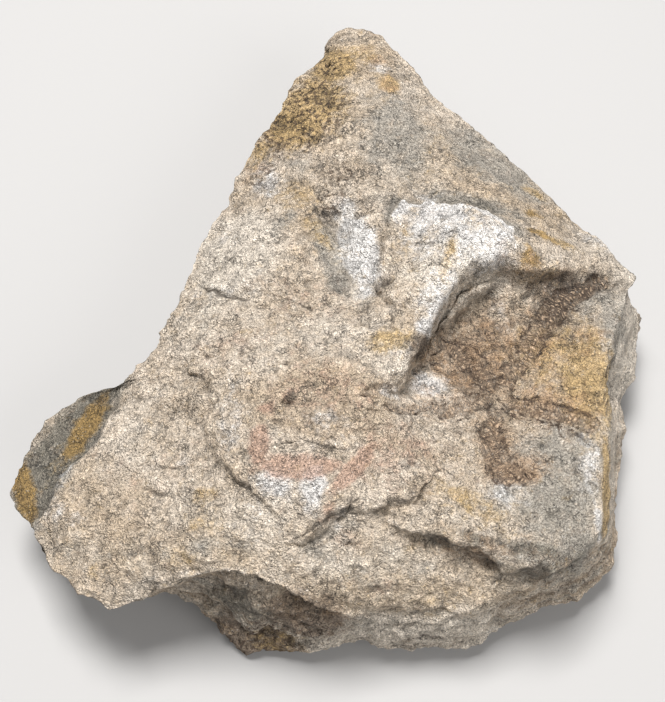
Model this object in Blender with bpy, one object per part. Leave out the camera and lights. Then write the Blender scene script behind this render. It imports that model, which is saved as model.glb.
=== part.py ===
"""A loose block of fine sandstone with a five-armed sea star pressed into its face, lying on its back.

The block is one piece of stone. +Z points up out of the face, +Y to the pointed end of the block and +X to the
side that holds the star. Every length below is in millimetres, and the mesh is written in metres.
"""

from dataclasses import dataclass

import bmesh
import bpy
import numpy as np
from mathutils import Matrix, Vector, noise

NODE_NAME = "fossil_slab"
METRES_PER_MM = 0.001
TRIANGLE_BUDGET = 9400
SPHERE_SUBDIVISIONS = 7

# The outlines are seen from this point of the plan, and each is a single-valued reach around it.
MIDDLE = (2.0, -36.0)

# Shares of the starting sphere that become the face, the flanks and the underside.
FACE_SHARE = 0.55
FLANK_SHARE = 0.25
# The lower part of each flank turns in under the block, to a base this much smaller than the skirt.
SKIRT_AT = 0.74
BASE_SHRINK = 0.9
BASE_EDGE_HEIGHT = 3.6
REST_DEPTH = 0.5
REST_SNAP = 0.12

# The broken edge of the face, anticlockwise from the right-hand side: x, y and height.
FACE_EDGE = (
    (72.5, -36, 42), (72, -27.5, 43), (74.5, -18, 42), (78.5, -8, 40), (83.5, 1, 37), (85.5, 5.5, 36),
    (81.5, 9.5, 35), (75, 18.5, 34), (71.5, 20, 34), (64, 31.5, 34), (55.5, 42, 34), (42, 55, 35),
    (28.5, 68.5, 35), (26, 75, 34), (18.5, 84, 34), (10.5, 94.5, 33), (2.5, 97, 33), (-3.5, 91.5, 33),
    (-4.5, 86, 34), (-9.5, 80, 34), (-14.5, 73.5, 34), (-18.5, 64, 35), (-22, 54.5, 36), (-27.5, 45.5, 36),
    (-31, 36.5, 37), (-33, 28.5, 38), (-37.5, 19.5, 38), (-41.5, 11, 38), (-43, 2, 38), (-47.5, -9.5, 38),
    (-51.5, -18, 38), (-56.5, -23.5, 38), (-60.5, -28, 36), (-68, -28.5, 31), (-73, -30, 30), (-81.5, -37, 29),
    (-85, -43.5, 28), (-87.5, -51, 28), (-90, -57.5, 27), (-86.5, -63.5, 29), (-81.5, -69.5, 32),
    (-81, -73, 33), (-76.5, -79.5, 33), (-73, -81, 33), (-68, -86.5, 33), (-60.5, -90, 33), (-55, -88.5, 34),
    (-49, -86.5, 36), (-39, -84.5, 41), (-32, -84, 43), (-25, -84, 44), (-18.5, -86.5, 43), (-13, -87.5, 41),
    (-7.5, -90, 37), (-2, -91, 33), (6, -92.5, 28), (17.5, -93, 25), (28.5, -91.5, 26), (41, -86.5, 30),
    (52.5, -83, 33), (61.5, -78.5, 36), (66.5, -71.5, 39), (68.5, -61, 41), (70, -50.5, 42),
)

# The lowest line of the flanks, where they turn in to the underside. It stands out past the face on the right and
# along the near end, and stays behind the face's edge on the left and at the point.
SKIRT = (
    (90, 2, 20), (84, 8, 18), (71, 14, 16), (57, 28, 15), (36, 50, 14), (22, 66, 14), (12, 82, 14), (3, 86, 14),
    (-3, 78, 14), (-11, 60, 14), (-20, 44, 15), (-29, 26, 16), (-34, 10, 16), (-36, -4, 16), (-41, -16, 15),
    (-50, -29, 15), (-62, -36, 13), (-72, -45, 12), (-76, -56, 12), (-70, -66, 13), (-62, -76, 14),
    (-52, -79, 14), (-44, -81, 13), (-36.5, -87, 12), (-31.5, -92.5, 6), (-26, -97, 3), (-20, -93.5, 5),
    (-15.5, -95.5, 5), (-4.5, -96, 8), (5, -93.5, 8), (12.5, -96.5, 8), (27, -95.5, 8), (38.5, -94.5, 8),
    (43, -91, 9), (52, -89, 10), (67.5, -83, 12), (75, -74.5, 12), (77, -70, 12), (79, -47, 14),
    (82, -37, 16), (82, -24.5, 18), (85.5, -19, 20), (85.5, -11, 20),
)

# Heights of named places on the face: x, y and height.
SPOT_HEIGHTS = {
    "point": ((3, 93, 34), (11, 81, 37), (1, 75, 39), (-9, 60, 39), (3, 50, 44), (17, 53, 44), (-15, 41, 41)),
    "upper slope": (
        (0, 32, 45), (17, 36, 46), (30, 52, 40), (38, 39, 42), (28, 26, 46), (45, 25, 45), (57, 22, 42),
        (53, 36, 38), (65, 13, 40), (80, 7, 37),
    ),
    "raised block": (
        (18, 20, 51), (21, 7, 54), (32, 10, 57), (43, 10, 57), (48, 5, 56), (37, 1, 59), (29, -8, 58),
        (21, -13, 56), (15, -21, 55), (11, -30, 54),
    ),
    "channel": ((-1, 12, 44), (0, -1, 45), (5, 6, 49), (9, 16, 49), (-3, -12, 48)),
    "left shoulder": (
        (-12, 6, 49), (-22, 14, 46), (-28, 5, 45), (-20, -6, 48), (-36, 7, 41), (-40, -5, 41), (-31, -14, 46),
        (-17, -22, 50), (-3, -26, 52),
    ),
    "tongue": (
        (-11, -41, 54), (-1, -42, 55), (10, -41, 54), (-22, -39, 51), (-30, -43, 48), (-26, -54, 52),
        (-13, -58, 56), (-3, -61, 56), (7, -60, 52), (15, -53, 50), (20, -58, 49), (7, -49, 54), (-11, -72, 53),
    ),
    "left lobe": (
        (-47, -30, 41), (-51, -41, 41), (-40, -51, 43), (-64, -57, 38), (-71, -68, 37), (-55, -69, 41),
        (-62, -81, 37), (-46, -80, 42), (-36, -71, 45), (-31, -81, 46), (-21, -79, 47), (-11, -81, 46),
        (-3, -76, 46),
    ),
    "near slope": (
        (4, -74, 48), (15, -70, 48), (22, -66, 48), (2, -85, 42), (15, -84, 38), (28, -79, 38), (10, -91, 27),
        (26, -90, 27), (41, -85, 31),
    ),
    "grey ridge": (
        (25, -71, 50), (38, -73, 45), (48, -77, 43), (56, -78, 42), (61, -70, 43), (51, -65, 44), (59, -57, 45),
        (41, -65, 45), (66, -54, 44),
    ),
    "star hollow": (
        (42, -33, 40), (30, -22, 37), (39, -10, 38), (56, -5, 40), (70, -1, 39), (61, -17, 39), (71, -22, 43),
        (64, -36, 41), (68, -43, 44), (53, -45, 42), (42, -50, 42), (29, -45, 43), (24, -36, 41), (18, -36, 42),
    ),
}
SPOT_SLACK = 2.0


@dataclass(frozen=True)
class Ledge:
    """A step in the face, high on the left of its route.

    Attributes:
        route: x, y and drop along the step's top edge.
        width: Plan width of the step.
        reach: How far the step's effect runs out on both sides.
        overhang: How far the top edge leans out over the foot, for each millimetre of drop.
    """

    route: tuple[tuple[float, float, float], ...]
    width: float = 0.8
    reach: float = 9.0
    overhang: float = 0.0


@dataclass(frozen=True)
class Furrow:
    """A groove, or a ridge where the depth is negative, along a route.

    Attributes:
        route: x, y and depth along the furrow's middle.
        half_width: Half of its width.
    """

    route: tuple[tuple[float, float, float], ...]
    half_width: float


@dataclass(frozen=True)
class Swell:
    """A round lump on the face, or a pit where its rise is negative.

    Attributes:
        at: x and y of its middle.
        radii: Its half-sizes along X and Y.
        rise: Its height.
    """

    at: tuple[float, float]
    radii: tuple[float, float]
    rise: float


@dataclass(frozen=True)
class FlankBand:
    """A part of the flank that is pushed out, or in where the push is negative.

    Attributes:
        bearing: Compass bearing of its middle seen from the block's middle, in degrees anticlockwise from +X.
        spread: Half of its width, in degrees.
        share: Its place down the flank, from 0 at the face to 1 at the skirt.
        share_spread: Half of its height, as a share of the flank.
        push: How far it moves out.
    """

    bearing: float
    spread: float
    share: float
    share_spread: float
    push: float


LEDGES = {
    "wall over the star": Ledge(
        route=(
            (4, -41, 1), (11.5, -36.5, 4), (15, -32.5, 8), (18, -28, 11), (22, -24, 14), (24.5, -19, 17),
            (28.5, -14, 19), (32.5, -8.5, 20), (37.5, -3, 20), (44.5, -1, 15), (50, -1, 8), (57, 2, 6),
            (64.5, 4.5, 5), (70, 3.5, 5), (77, 2.5, 4), (84, 2, 2),
        ),
        width=1.6,
        reach=13.0,
        overhang=0.16,
    ),
    "raised block's far edge": Ledge(
        route=(
            (48.5, 3, 0), (48, 10.5, 2), (40, 16, 3.5), (32, 18, 4), (24.5, 20.5, 4), (18, 21, 3.5),
            (15, 15, 3.5), (13.5, 8, 3), (11.5, 1, 2.5), (10, -4.5, 3), (13.5, -10.5, 3), (19, -18, 0),
        ),
        width=1.4,
        reach=8.0,
    ),
    "tongue's near edge": Ledge(
        route=(
            (-14, -77, 0), (-7.5, -74.5, 3.5), (-3, -70.5, 5), (2, -67, 6), (5.5, -69.5, 3.5), (11, -67.5, 4.5),
            (17.5, -66.5, 4), (19.5, -63, 3), (25, -59, 0),
        ),
        width=0.9,
        reach=8.0,
        overhang=0.25,
    ),
    "tongue's left edge": Ledge(
        route=(
            (-46.5, -24, 0), (-40.5, -27.5, 1.6), (-34, -31.5, 2.2), (-33, -35.5, 2.2), (-34, -47, 1.8),
            (-33.5, -53, 2.2), (-28, -61, 2.6), (-22.5, -63, 2.4), (-20.5, -66.5, 1.8), (-14.5, -72, 1.2),
            (-11, -74.5, 0),
        ),
        width=0.7,
        reach=7.0,
    ),
    "grey ridge's near edge": Ledge(
        route=(
            (11, -72, 0), (16, -72.5, 2.5), (21, -73.5, 4), (29, -75, 5), (35, -75, 6), (43.5, -79, 8),
            (53, -79.5, 9), (57, -84, 6), (61, -87, 0),
        ),
        width=1.4,
        reach=9.0,
        overhang=0.2,
    ),
    "near slope's step": Ledge(
        route=((-5, -84, 0), (3, -88, 2.5), (12, -89.5, 3), (23, -90, 2.5), (30, -88, 0)),
        width=1.0,
        reach=6.0,
    ),
    "channel's left side": Ledge(
        route=((-1.5, -10.5, 0), (0, -2.5, 1.5), (0, 4, 2.5), (-2.5, 12, 3.5), (-5.5, 16.5, 3), (-9, 22, 0)),
        width=2.4,
        reach=8.0,
    ),
    "left shoulder's crack": Ledge(
        route=((-43, 1.5, 1), (-38, -2, 2), (-31, -4, 1.8), (-25.5, -4, 1), (-19, -6.5, 1.2), (-14, -9.5, 2), (-8.5, -11, 0)),
        width=0.5,
        reach=5.0,
    ),
    "left lobe's grey layer": Ledge(
        route=(
            (-61, -28, 1), (-62, -36, 3), (-63.5, -42.5, 3.5), (-69.5, -51.5, 3.5), (-74.5, -59, 3),
            (-76, -63, 2.5), (-81.5, -70.5, 1),
        ),
        width=1.2,
        reach=7.0,
    ),
    "tongue's crack": Ledge(
        route=((-18, -56, 0), (-11, -53.5, 1.2), (-3, -53.5, 1.6), (3, -53, 0.8), (9, -54.5, 0)),
        width=0.5,
        reach=4.0,
    ),
    "left lobe's low steps": Ledge(
        route=((-66, -52, 0), (-56, -53, 1), (-46, -55, 1.2), (-36, -56.5, 1), (-32, -58, 0)),
        width=0.8,
        reach=4.5,
    ),
}

FURROWS = {
    "channel inside the right edge": Furrow(((73.5, -46, 0), (71.5, -55, 2.4), (70.5, -65, 2.6), (72, -74, 0)), 1.5),
    "crest beside the channel": Furrow(
        ((70.5, -41, 0), (67.5, -50, -1), (66.5, -61, -1.3), (68, -70, -1.4), (70.5, -75, 0)), 1.4
    ),
}

SWELLS = {
    "bore in the tongue": Swell((-14, -41), (1.6, 1.4), -3.0),
    "pit at the block's corner": Swell((10.5, -6), (2.2, 1.8), -2.4),
    "pits of the pitted zone": Swell((1.5, 34), (3.2, 2.4), -1.6),
    "knob at the grey ridge's end": Swell((62, -80), (6.0, 5.0), 2.2),
    "knob on the near slope": Swell((30, -83), (9.0, 4.0), 1.5),
}

# The star's arms, from its middle out: x, y and half-width along each.
STAR_MIDDLE = (42.0, -34.5)
STAR_DISC_RADIUS = 4.6
STAR_DEPTH = 1.3
STAR_ARMS = {
    "upper right": ((42, -34.5, 2.4), (46, -24, 2.8), (53, -13.5, 3.2), (62.5, -5, 3.2), (73.5, 0.5, 2.0)),
    "right": ((42, -34.5, 2.2), (50, -37, 2.2), (58.5, -39, 2.3), (69, -42, 1.4)),
    "near": ((42, -34.5, 2.2), (40.5, -41, 2.6), (40.5, -48, 3.2), (42, -54, 4.2), (44.5, -59, 3.6)),
    "left": ((42, -34.5, 2.0), (36, -36, 2.0), (30.5, -37.5, 2.2), (21, -38.5, 2.0), (12, -38.5, 1.2)),
    "upper left": ((42, -34.5, 2.0), (38, -30, 2.2), (33, -23.5, 2.4), (27.5, -18, 2.2), (24.5, -14.5, 1.2)),
}

FLANK_BANDS = {
    "hollow under the near ledge": FlankBand(246, 26, 0.1, 0.1, -5.0),
    "hollow beside the grey plate": FlankBand(230, 10, 0.45, 0.25, -5.0),
    "slot over the foot": FlankBand(243, 14, 0.78, 0.08, -3.5),
    "rounded right side": FlankBand(-35, 30, 0.45, 0.35, 3.0),
    "bulge under the far right edge": FlankBand(22, 12, 0.6, 0.3, 1.5),
    "shoulder under the left side": FlankBand(165, 40, 0.35, 0.25, 2.0),
}

# Broken stone's roughness, over all of it: size of the lumps and how far they stand out.
ROUGHNESS = ((26.0, 1.1), (12.0, 0.9), (5.5, 0.5), (2.8, 0.22))
# Picks one pattern of the lumps, so that the block comes out the same each time.
LUMP_SEED = 1795464237
# The flanks break along the beds: each layer stands out on its own, over a long run and a small height.
BED_RUN = 30.0
BED_HEIGHT = 4.2
BED_PUSH = 3.4
# The underside is one bed's plane with shallow hollows, and it is whole around the place it rests on.
HOLLOW_SIZE = 27.0
HOLLOW_DEPTH = 3.2
REST_PLACE = (0.0, -32.0)
REST_RADIUS = 26.0


def reach_of(outline: tuple[tuple[float, float, float], ...], bearing: np.ndarray) -> tuple[np.ndarray, np.ndarray]:
    """How far an outline lies from the middle, and its height there, at each bearing.

    Args:
        outline: x, y and height of its corners, anticlockwise.
        bearing: Bearings in radians.

    Returns:
        The reach and the height at each bearing.
    """
    corners = np.array(outline, float)
    corners[:, :2] -= MIDDLE
    corners = corners[np.argsort(np.arctan2(corners[:, 1], corners[:, 0]))]
    angles = np.arctan2(corners[:, 1], corners[:, 0])
    after = np.searchsorted(angles, bearing) % len(corners)
    first, second = corners[after - 1], corners[after]
    along = second - first
    ray = np.stack([np.cos(bearing), np.sin(bearing)], axis=1)
    cross_side = ray[:, 0] * along[:, 1] - ray[:, 1] * along[:, 0]
    cross_first = first[:, 0] * along[:, 1] - first[:, 1] * along[:, 0]
    reach = cross_first / cross_side
    share = (first[:, 0] * ray[:, 1] - first[:, 1] * ray[:, 0]) / cross_side
    return reach, first[:, 2] + share * along[:, 2]


def route_distance(route: tuple[tuple[float, float, float], ...], plan: np.ndarray) -> tuple[np.ndarray, ...]:
    """Where points of the plan lie beside a route.

    Args:
        route: x, y and a value, such as a drop, at each corner of the route.
        plan: Points of the plan.

    Returns:
        Each point's distance, positive on the route's left, the route's value there, and the direction to its left.
    """
    points = np.array(route, float)
    best = np.full(len(plan), np.inf)
    signed, value, left = np.zeros(len(plan)), np.zeros(len(plan)), np.zeros((len(plan), 2))
    for first, second in zip(points, points[1:]):
        along = second[:2] - first[:2]
        share = np.clip((plan - first[:2]) @ along / (along @ along), 0, 1)
        offset = plan - first[:2] - share[:, None] * along
        distance = np.linalg.norm(offset, axis=1)
        side = np.array([-along[1], along[0]]) / np.linalg.norm(along)
        near = distance < best
        best = np.where(near, distance, best)
        signed = np.where(near, distance * np.where(offset @ side < 0, -1, 1), signed)
        value = np.where(near, first[2] + share * (second[2] - first[2]), value)
        left[near] = side
    return signed, value, left


def ledge_height(plan: np.ndarray) -> np.ndarray:
    """The steps' own part of the face's height, which fades out on both sides of each."""
    height = np.zeros(len(plan))
    for ledge in LEDGES.values():
        signed, drop, _ = route_distance(ledge.route, plan)
        height += 0.5 * drop * np.tanh(1.6 * signed / ledge.width + 0.8) * np.exp(-((signed / ledge.reach) ** 2))
    return height


def detail_height(plan: np.ndarray) -> np.ndarray:
    """Furrows, swells and the star, on top of the face's large form."""
    height = np.zeros(len(plan))
    for furrow in FURROWS.values():
        signed, depth, _ = route_distance(furrow.route, plan)
        height -= depth * np.exp(-((signed / furrow.half_width) ** 2))
    for swell in SWELLS.values():
        height += swell.rise * np.exp(-(((plan - swell.at) / swell.radii) ** 2).sum(axis=1))
    return height - STAR_DEPTH * star_hollow(plan)


def star_hollow(plan: np.ndarray) -> np.ndarray:
    """How deep the star's mould is at each point of the plan, from 0 outside it to 1."""
    disc = np.linalg.norm(plan - STAR_MIDDLE, axis=1)
    hollow = 0.6 * np.exp(-((disc / STAR_DISC_RADIUS) ** 4))
    for arm in STAR_ARMS.values():
        signed, half_width, _ = route_distance(arm, plan)
        across = np.abs(signed) / half_width
        hollow = np.maximum(hollow, np.exp(-(across**4)) * (0.55 + 0.45 * np.minimum(across, 1)))
    return hollow


def bending(squared: np.ndarray) -> np.ndarray:
    """The thin plate's bending function of a squared distance."""
    return squared * np.log(np.maximum(squared, 1e-9))


class FaceSurface:
    """The face's height over the plan: a bent plate through the named heights, with its steps and details."""

    def __init__(self) -> None:
        spots = [spot for group in SPOT_HEIGHTS.values() for spot in group] + list(FACE_EDGE)
        self.plan = np.array([spot[:2] for spot in spots], float)
        wanted = np.array([spot[2] for spot in spots], float) - ledge_height(self.plan)
        count = len(spots)
        squared = ((self.plan[:, None] - self.plan[None]) ** 2).sum(axis=2)
        flat = np.column_stack([np.ones(count), self.plan])
        system = np.zeros((count + 3, count + 3))
        system[:count, :count] = bending(squared) + SPOT_SLACK * np.eye(count)
        system[:count, count:] = flat
        system[count:, :count] = flat.T
        self.weights = np.linalg.solve(system, np.append(wanted, np.zeros(3)))

    def height(self, plan: np.ndarray) -> np.ndarray:
        """The height of the face at each point of the plan."""
        squared = ((plan[:, None] - self.plan[None]) ** 2).sum(axis=2)
        plate = bending(squared) @ self.weights[:-3] + self.weights[-3] + plan @ self.weights[-2:]
        return plate + ledge_height(plan) + detail_height(plan)


def gathered(plan: np.ndarray) -> np.ndarray:
    """The plan with its points drawn together at each step, so that a steep wall gets enough of them."""
    plan = plan.copy()
    for ledge in LEDGES.values():
        signed, drop, left = route_distance(ledge.route, plan)
        pull = 0.8 * np.minimum(drop / 5, 1) * np.exp(-((signed / 6) ** 2))
        plan -= left * (signed * pull)[:, None]
    return plan


def leaned(plan: np.ndarray) -> np.ndarray:
    """The plan with each step's top edge leaned out over its foot."""
    moved = plan.copy()
    for ledge in LEDGES.values():
        signed, drop, left = route_distance(ledge.route, plan)
        lean = ledge.overhang * drop * np.exp(-(((signed - 0.5 * ledge.width) / (1.6 * ledge.width)) ** 2))
        moved -= left * lean[:, None]
    return moved


def flank_push(bearing: np.ndarray, share: np.ndarray) -> np.ndarray:
    """How far the named bands push the flank out."""
    push = np.zeros(len(bearing))
    for band in FLANK_BANDS.values():
        turn = (np.degrees(bearing) - band.bearing + 180) % 360 - 180
        push += band.push * np.exp(-((turn / band.spread) ** 2) - ((share - band.share) / band.share_spread) ** 2)
    return push


def smooth(share: np.ndarray) -> np.ndarray:
    """A share from 0 to 1 eased at both ends."""
    share = np.clip(share, 0, 1)
    return share * share * (3 - 2 * share)


def stone_points(directions: np.ndarray) -> np.ndarray:
    """The block's surface points for directions spread over a sphere.

    The sphere's top becomes the face, its belt the flanks and its bottom the underside.

    Args:
        directions: Unit vectors.

    Returns:
        A point of the surface for each, before its roughness.
    """
    bearing = np.arctan2(directions[:, 1], directions[:, 0])
    covered = 0.5 * (1 - directions[:, 2])
    edge_reach, _ = reach_of(FACE_EDGE, bearing)
    skirt_reach, skirt_height = reach_of(SKIRT, bearing)
    ray = np.stack([np.cos(bearing), np.sin(bearing)], axis=1)
    face = FaceSurface()
    points = np.zeros((len(directions), 3))

    on_face = covered <= FACE_SHARE
    spread = np.sqrt(covered[on_face] / FACE_SHARE)
    plan = gathered(MIDDLE + ray[on_face] * (spread * edge_reach[on_face])[:, None])
    points[on_face, 2] = face.height(plan)
    points[on_face, :2] = leaned(plan)

    edge_height = face.height(MIDDLE + ray * edge_reach[:, None])
    base_reach = BASE_SHRINK * skirt_reach
    down = (covered - FACE_SHARE) / FLANK_SHARE
    on_flank = (down > 0) & (down <= 1)
    share = np.clip(down / SKIRT_AT, 0, 1)
    tuck = smooth((down - SKIRT_AT) / (1 - SKIRT_AT))
    reach = edge_reach + (skirt_reach - edge_reach) * share + (base_reach - skirt_reach) * tuck**2
    reach += flank_push(bearing, share)
    height = edge_height + (skirt_height - edge_height) * share + (BASE_EDGE_HEIGHT - skirt_height) * tuck
    points[on_flank, :2] = (MIDDLE + ray * reach[:, None])[on_flank]
    points[on_flank, 2] = height[on_flank]
    points[on_flank, :2] += ray[on_flank] * bed_push(points[on_flank], down[on_flank])[:, None]

    under = down > 1
    spread = np.sqrt((1 - covered[under]) / (1 - FACE_SHARE - FLANK_SHARE))
    points[under, :2] = MIDDLE + ray[under] * (spread * base_reach[under])[:, None]
    points[under, 2] = (BASE_EDGE_HEIGHT + REST_DEPTH) * spread**5 - REST_DEPTH + bed_hollows(points[under, :2])
    return points


def bed_push(points: np.ndarray, down: np.ndarray) -> np.ndarray:
    """How far each layer of the flank stands out, which dies away at the face's edge and at the underside."""
    layers = [noise.noise(Vector((x / BED_RUN, y / BED_RUN, z / BED_HEIGHT))) for x, y, z in points]
    return BED_PUSH * np.array(layers) * smooth(down / 0.12) * smooth((1 - down) / 0.12)


def bed_hollows(plan: np.ndarray) -> np.ndarray:
    """How far the underside's hollows rise above its plane."""
    lumps = np.array([noise.noise(Vector((x / HOLLOW_SIZE, y / HOLLOW_SIZE, 7.0))) for x, y in plan])
    away = 1 - np.exp(-((np.linalg.norm(plan - REST_PLACE, axis=1) / REST_RADIUS) ** 4))
    return HOLLOW_DEPTH * lumps * away


def roughened(points: np.ndarray) -> np.ndarray:
    """The points moved by the broken stone's lumps, with nothing left below the resting plane."""
    noise.seed_set(LUMP_SEED)
    moved = points.copy()
    for row, point in enumerate(points):
        for size, stand in ROUGHNESS:
            moved[row] += stand * np.array(noise.noise_vector(Vector(point / size)))
    moved[:, 2] = np.maximum(moved[:, 2], 0)
    return moved


def stone_material() -> bpy.types.Material:
    """Pale buff sandstone, rough and dull."""
    material = bpy.data.materials.new("sandstone")
    material.use_nodes = True
    shader = material.node_tree.nodes["Principled BSDF"]
    shader.inputs["Base Color"].default_value = (0.42, 0.34, 0.26, 1.0)
    shader.inputs["Roughness"].default_value = 0.93
    shader.inputs["Metallic"].default_value = 0.0
    return material


def build_stone() -> bpy.types.Object:
    """The block, thinned to its triangle budget with flat places to rest on.

    Returns:
        The finished object.
    """
    shell = bmesh.new()
    bmesh.ops.create_icosphere(shell, subdivisions=SPHERE_SUBDIVISIONS, radius=1.0)
    directions = np.array([vertex.co.normalized() for vertex in shell.verts])
    points = roughened(stone_points(directions)) * METRES_PER_MM
    for vertex, point in zip(shell.verts, points):
        vertex.co = Vector(point)
    dense = bpy.data.meshes.new(NODE_NAME)
    shell.to_mesh(dense)
    shell.free()
    stone = bpy.data.objects.new(NODE_NAME, dense)
    bpy.context.scene.collection.objects.link(stone)
    thinning = stone.modifiers.new("thin the facets", "DECIMATE")
    thinning.ratio = TRIANGLE_BUDGET / len(dense.polygons)
    bpy.context.view_layer.update()
    thinned = bpy.data.meshes.new_from_object(stone.evaluated_get(bpy.context.evaluated_depsgraph_get()))
    stone.modifiers.clear()
    stone.data = thinned
    bpy.data.meshes.remove(dense)
    thinned.name = NODE_NAME
    settle(thinned)
    thinned.materials.append(stone_material())
    return stone


def settle(mesh: bpy.types.Mesh) -> None:
    """Centres a mesh's box over the origin and makes the places it rests on truly flat."""
    corners = np.array([vertex.co for vertex in mesh.vertices])
    middle = (corners.min(axis=0) + corners.max(axis=0)) / 2
    mesh.transform(Matrix.Translation((-middle[0], -middle[1], 0)))
    for vertex in mesh.vertices:
        if vertex.co.z < REST_SNAP * METRES_PER_MM:
            vertex.co.z = 0


def main() -> None:
    """Clears the scene and builds the block."""
    for thing in list(bpy.data.objects):
        bpy.data.objects.remove(thing)
    build_stone()


main()
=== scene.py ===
"""The looks of a loose block of fine sandstone with a five-armed sea star pressed into its face.

The block is one piece of stone, lying on its back. It is built from the same named lengths as its solid, with
the finer relief that the solid leaves out: jagged edges, flakes, cracks, pits and the rows of small plates in
the star's arms. Lengths are in millimetres, in the block's own plan, and the finished mesh is in metres. +Z
points up out of the face, +Y to the block's pointed end and +X to the side that holds the star.
"""

import logging
import math
from dataclasses import dataclass
from enum import Enum
from itertools import chain, product
from typing import Any, Union

import bmesh
import bpy
import numpy as np
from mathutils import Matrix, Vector, noise

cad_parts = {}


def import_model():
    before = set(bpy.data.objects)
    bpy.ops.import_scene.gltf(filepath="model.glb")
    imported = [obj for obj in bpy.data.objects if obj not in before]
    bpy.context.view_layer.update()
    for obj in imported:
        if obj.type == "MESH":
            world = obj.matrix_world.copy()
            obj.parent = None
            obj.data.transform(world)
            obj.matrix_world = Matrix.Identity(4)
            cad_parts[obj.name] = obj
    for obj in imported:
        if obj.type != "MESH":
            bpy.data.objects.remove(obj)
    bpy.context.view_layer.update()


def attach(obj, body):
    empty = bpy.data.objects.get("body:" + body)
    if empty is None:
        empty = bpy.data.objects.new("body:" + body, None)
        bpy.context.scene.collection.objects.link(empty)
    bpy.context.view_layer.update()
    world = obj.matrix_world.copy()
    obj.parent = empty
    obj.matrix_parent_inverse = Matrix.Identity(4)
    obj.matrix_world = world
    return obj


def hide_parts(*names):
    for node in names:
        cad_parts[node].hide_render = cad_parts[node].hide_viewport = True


LOG = logging.getLogger("fossil")
NODE_NAME = "fossil_slab"
PIECE_NAME = "sea_star_block"
METRES_PER_MM = 0.001

# For the face's middle, the edge's corners are evened out: degrees between samples, the spread in degrees and
# the samples on either side.
GENTLE_STEP = 0.5
GENTLE_SPREAD = 6.0
GENTLE_SAMPLES = 30

# The mesh is drawn together at the steps: within this distance, by this share, in full from this drop on.
GATHER_REACH = 6.0
GATHER_SHARE = 0.8
FULL_DROP = 5.0

Route = tuple[tuple[float, float, float], ...]
Colour = tuple[float, float, float]
Pairs = tuple[tuple[float, float], ...]
Array = np.ndarray

# The outlines are seen from this point of the plan, and each is a single-valued reach around it.
MIDDLE = (2.0, -36.0)

# The broken edge of the face, anticlockwise from the right-hand side: x, y and height.
FACE_EDGE = (
    (72.5, -36, 42), (72, -27.5, 43), (74.5, -18, 42), (78.5, -8, 40), (83.5, 1, 37), (85.5, 5.5, 36),
    (81.5, 9.5, 35), (75, 18.5, 34), (71.5, 20, 34), (64, 31.5, 34), (55.5, 42, 34), (42, 55, 35),
    (28.5, 68.5, 35), (26, 75, 34), (18.5, 84, 34), (10.5, 94.5, 33), (2.5, 97, 33), (-3.5, 91.5, 33),
    (-4.5, 86, 34), (-9.5, 80, 34), (-14.5, 73.5, 34), (-18.5, 64, 35), (-22, 54.5, 36), (-27.5, 45.5, 36),
    (-31, 36.5, 37), (-33, 28.5, 38), (-37.5, 19.5, 38), (-41.5, 11, 38), (-43, 2, 38), (-47.5, -9.5, 38),
    (-51.5, -18, 38), (-56.5, -23.5, 38), (-60.5, -28, 36), (-68, -28.5, 31), (-73, -30, 30),
    (-81.5, -37, 29), (-85, -43.5, 28), (-87.5, -51, 28), (-90, -57.5, 27), (-86.5, -63.5, 29),
    (-81.5, -69.5, 32), (-81, -73, 33), (-76.5, -79.5, 33), (-73, -81, 33), (-68, -86.5, 33),
    (-60.5, -90, 33), (-55, -88.5, 34), (-49, -86.5, 36), (-39, -84.5, 41), (-32, -84, 43), (-25, -84, 44),
    (-18.5, -86.5, 43), (-13, -87.5, 41), (-7.5, -90, 37), (-2, -91, 33), (6, -92.5, 28), (17.5, -93, 25),
    (28.5, -91.5, 26), (41, -86.5, 30), (52.5, -83, 33), (61.5, -78.5, 36), (66.5, -71.5, 39),
    (68.5, -61, 41), (70, -50.5, 42),
)

# The lowest line of the flanks, where they turn in to the underside. It stands out past the face on the right
# and along the near end, and stays behind the face's edge on the left and at the point.
SKIRT = (
    (90, 2, 20), (84, 8, 18), (71, 14, 16), (57, 28, 15), (36, 50, 14), (22, 66, 14), (12, 82, 14),
    (3, 86, 14), (-3, 78, 14), (-11, 60, 14), (-20, 44, 15), (-29, 26, 16), (-34, 10, 16), (-36, -4, 16),
    (-41, -16, 15), (-50, -29, 15), (-62, -36, 13), (-72, -45, 12), (-76, -56, 12), (-70, -66, 13),
    (-62, -76, 14), (-52, -79, 14), (-44, -81, 13), (-36.5, -87, 12), (-31.5, -92.5, 6), (-26, -97, 3),
    (-20, -93.5, 5), (-15.5, -95.5, 5), (-4.5, -96, 8), (5, -93.5, 8), (12.5, -96.5, 8), (27, -95.5, 8),
    (38.5, -94.5, 8), (43, -91, 9), (52, -89, 10), (67.5, -83, 12), (75, -74.5, 12), (77, -70, 12),
    (79, -47, 14), (82, -37, 16), (82, -24.5, 18), (85.5, -19, 20), (85.5, -11, 20),
)

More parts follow.
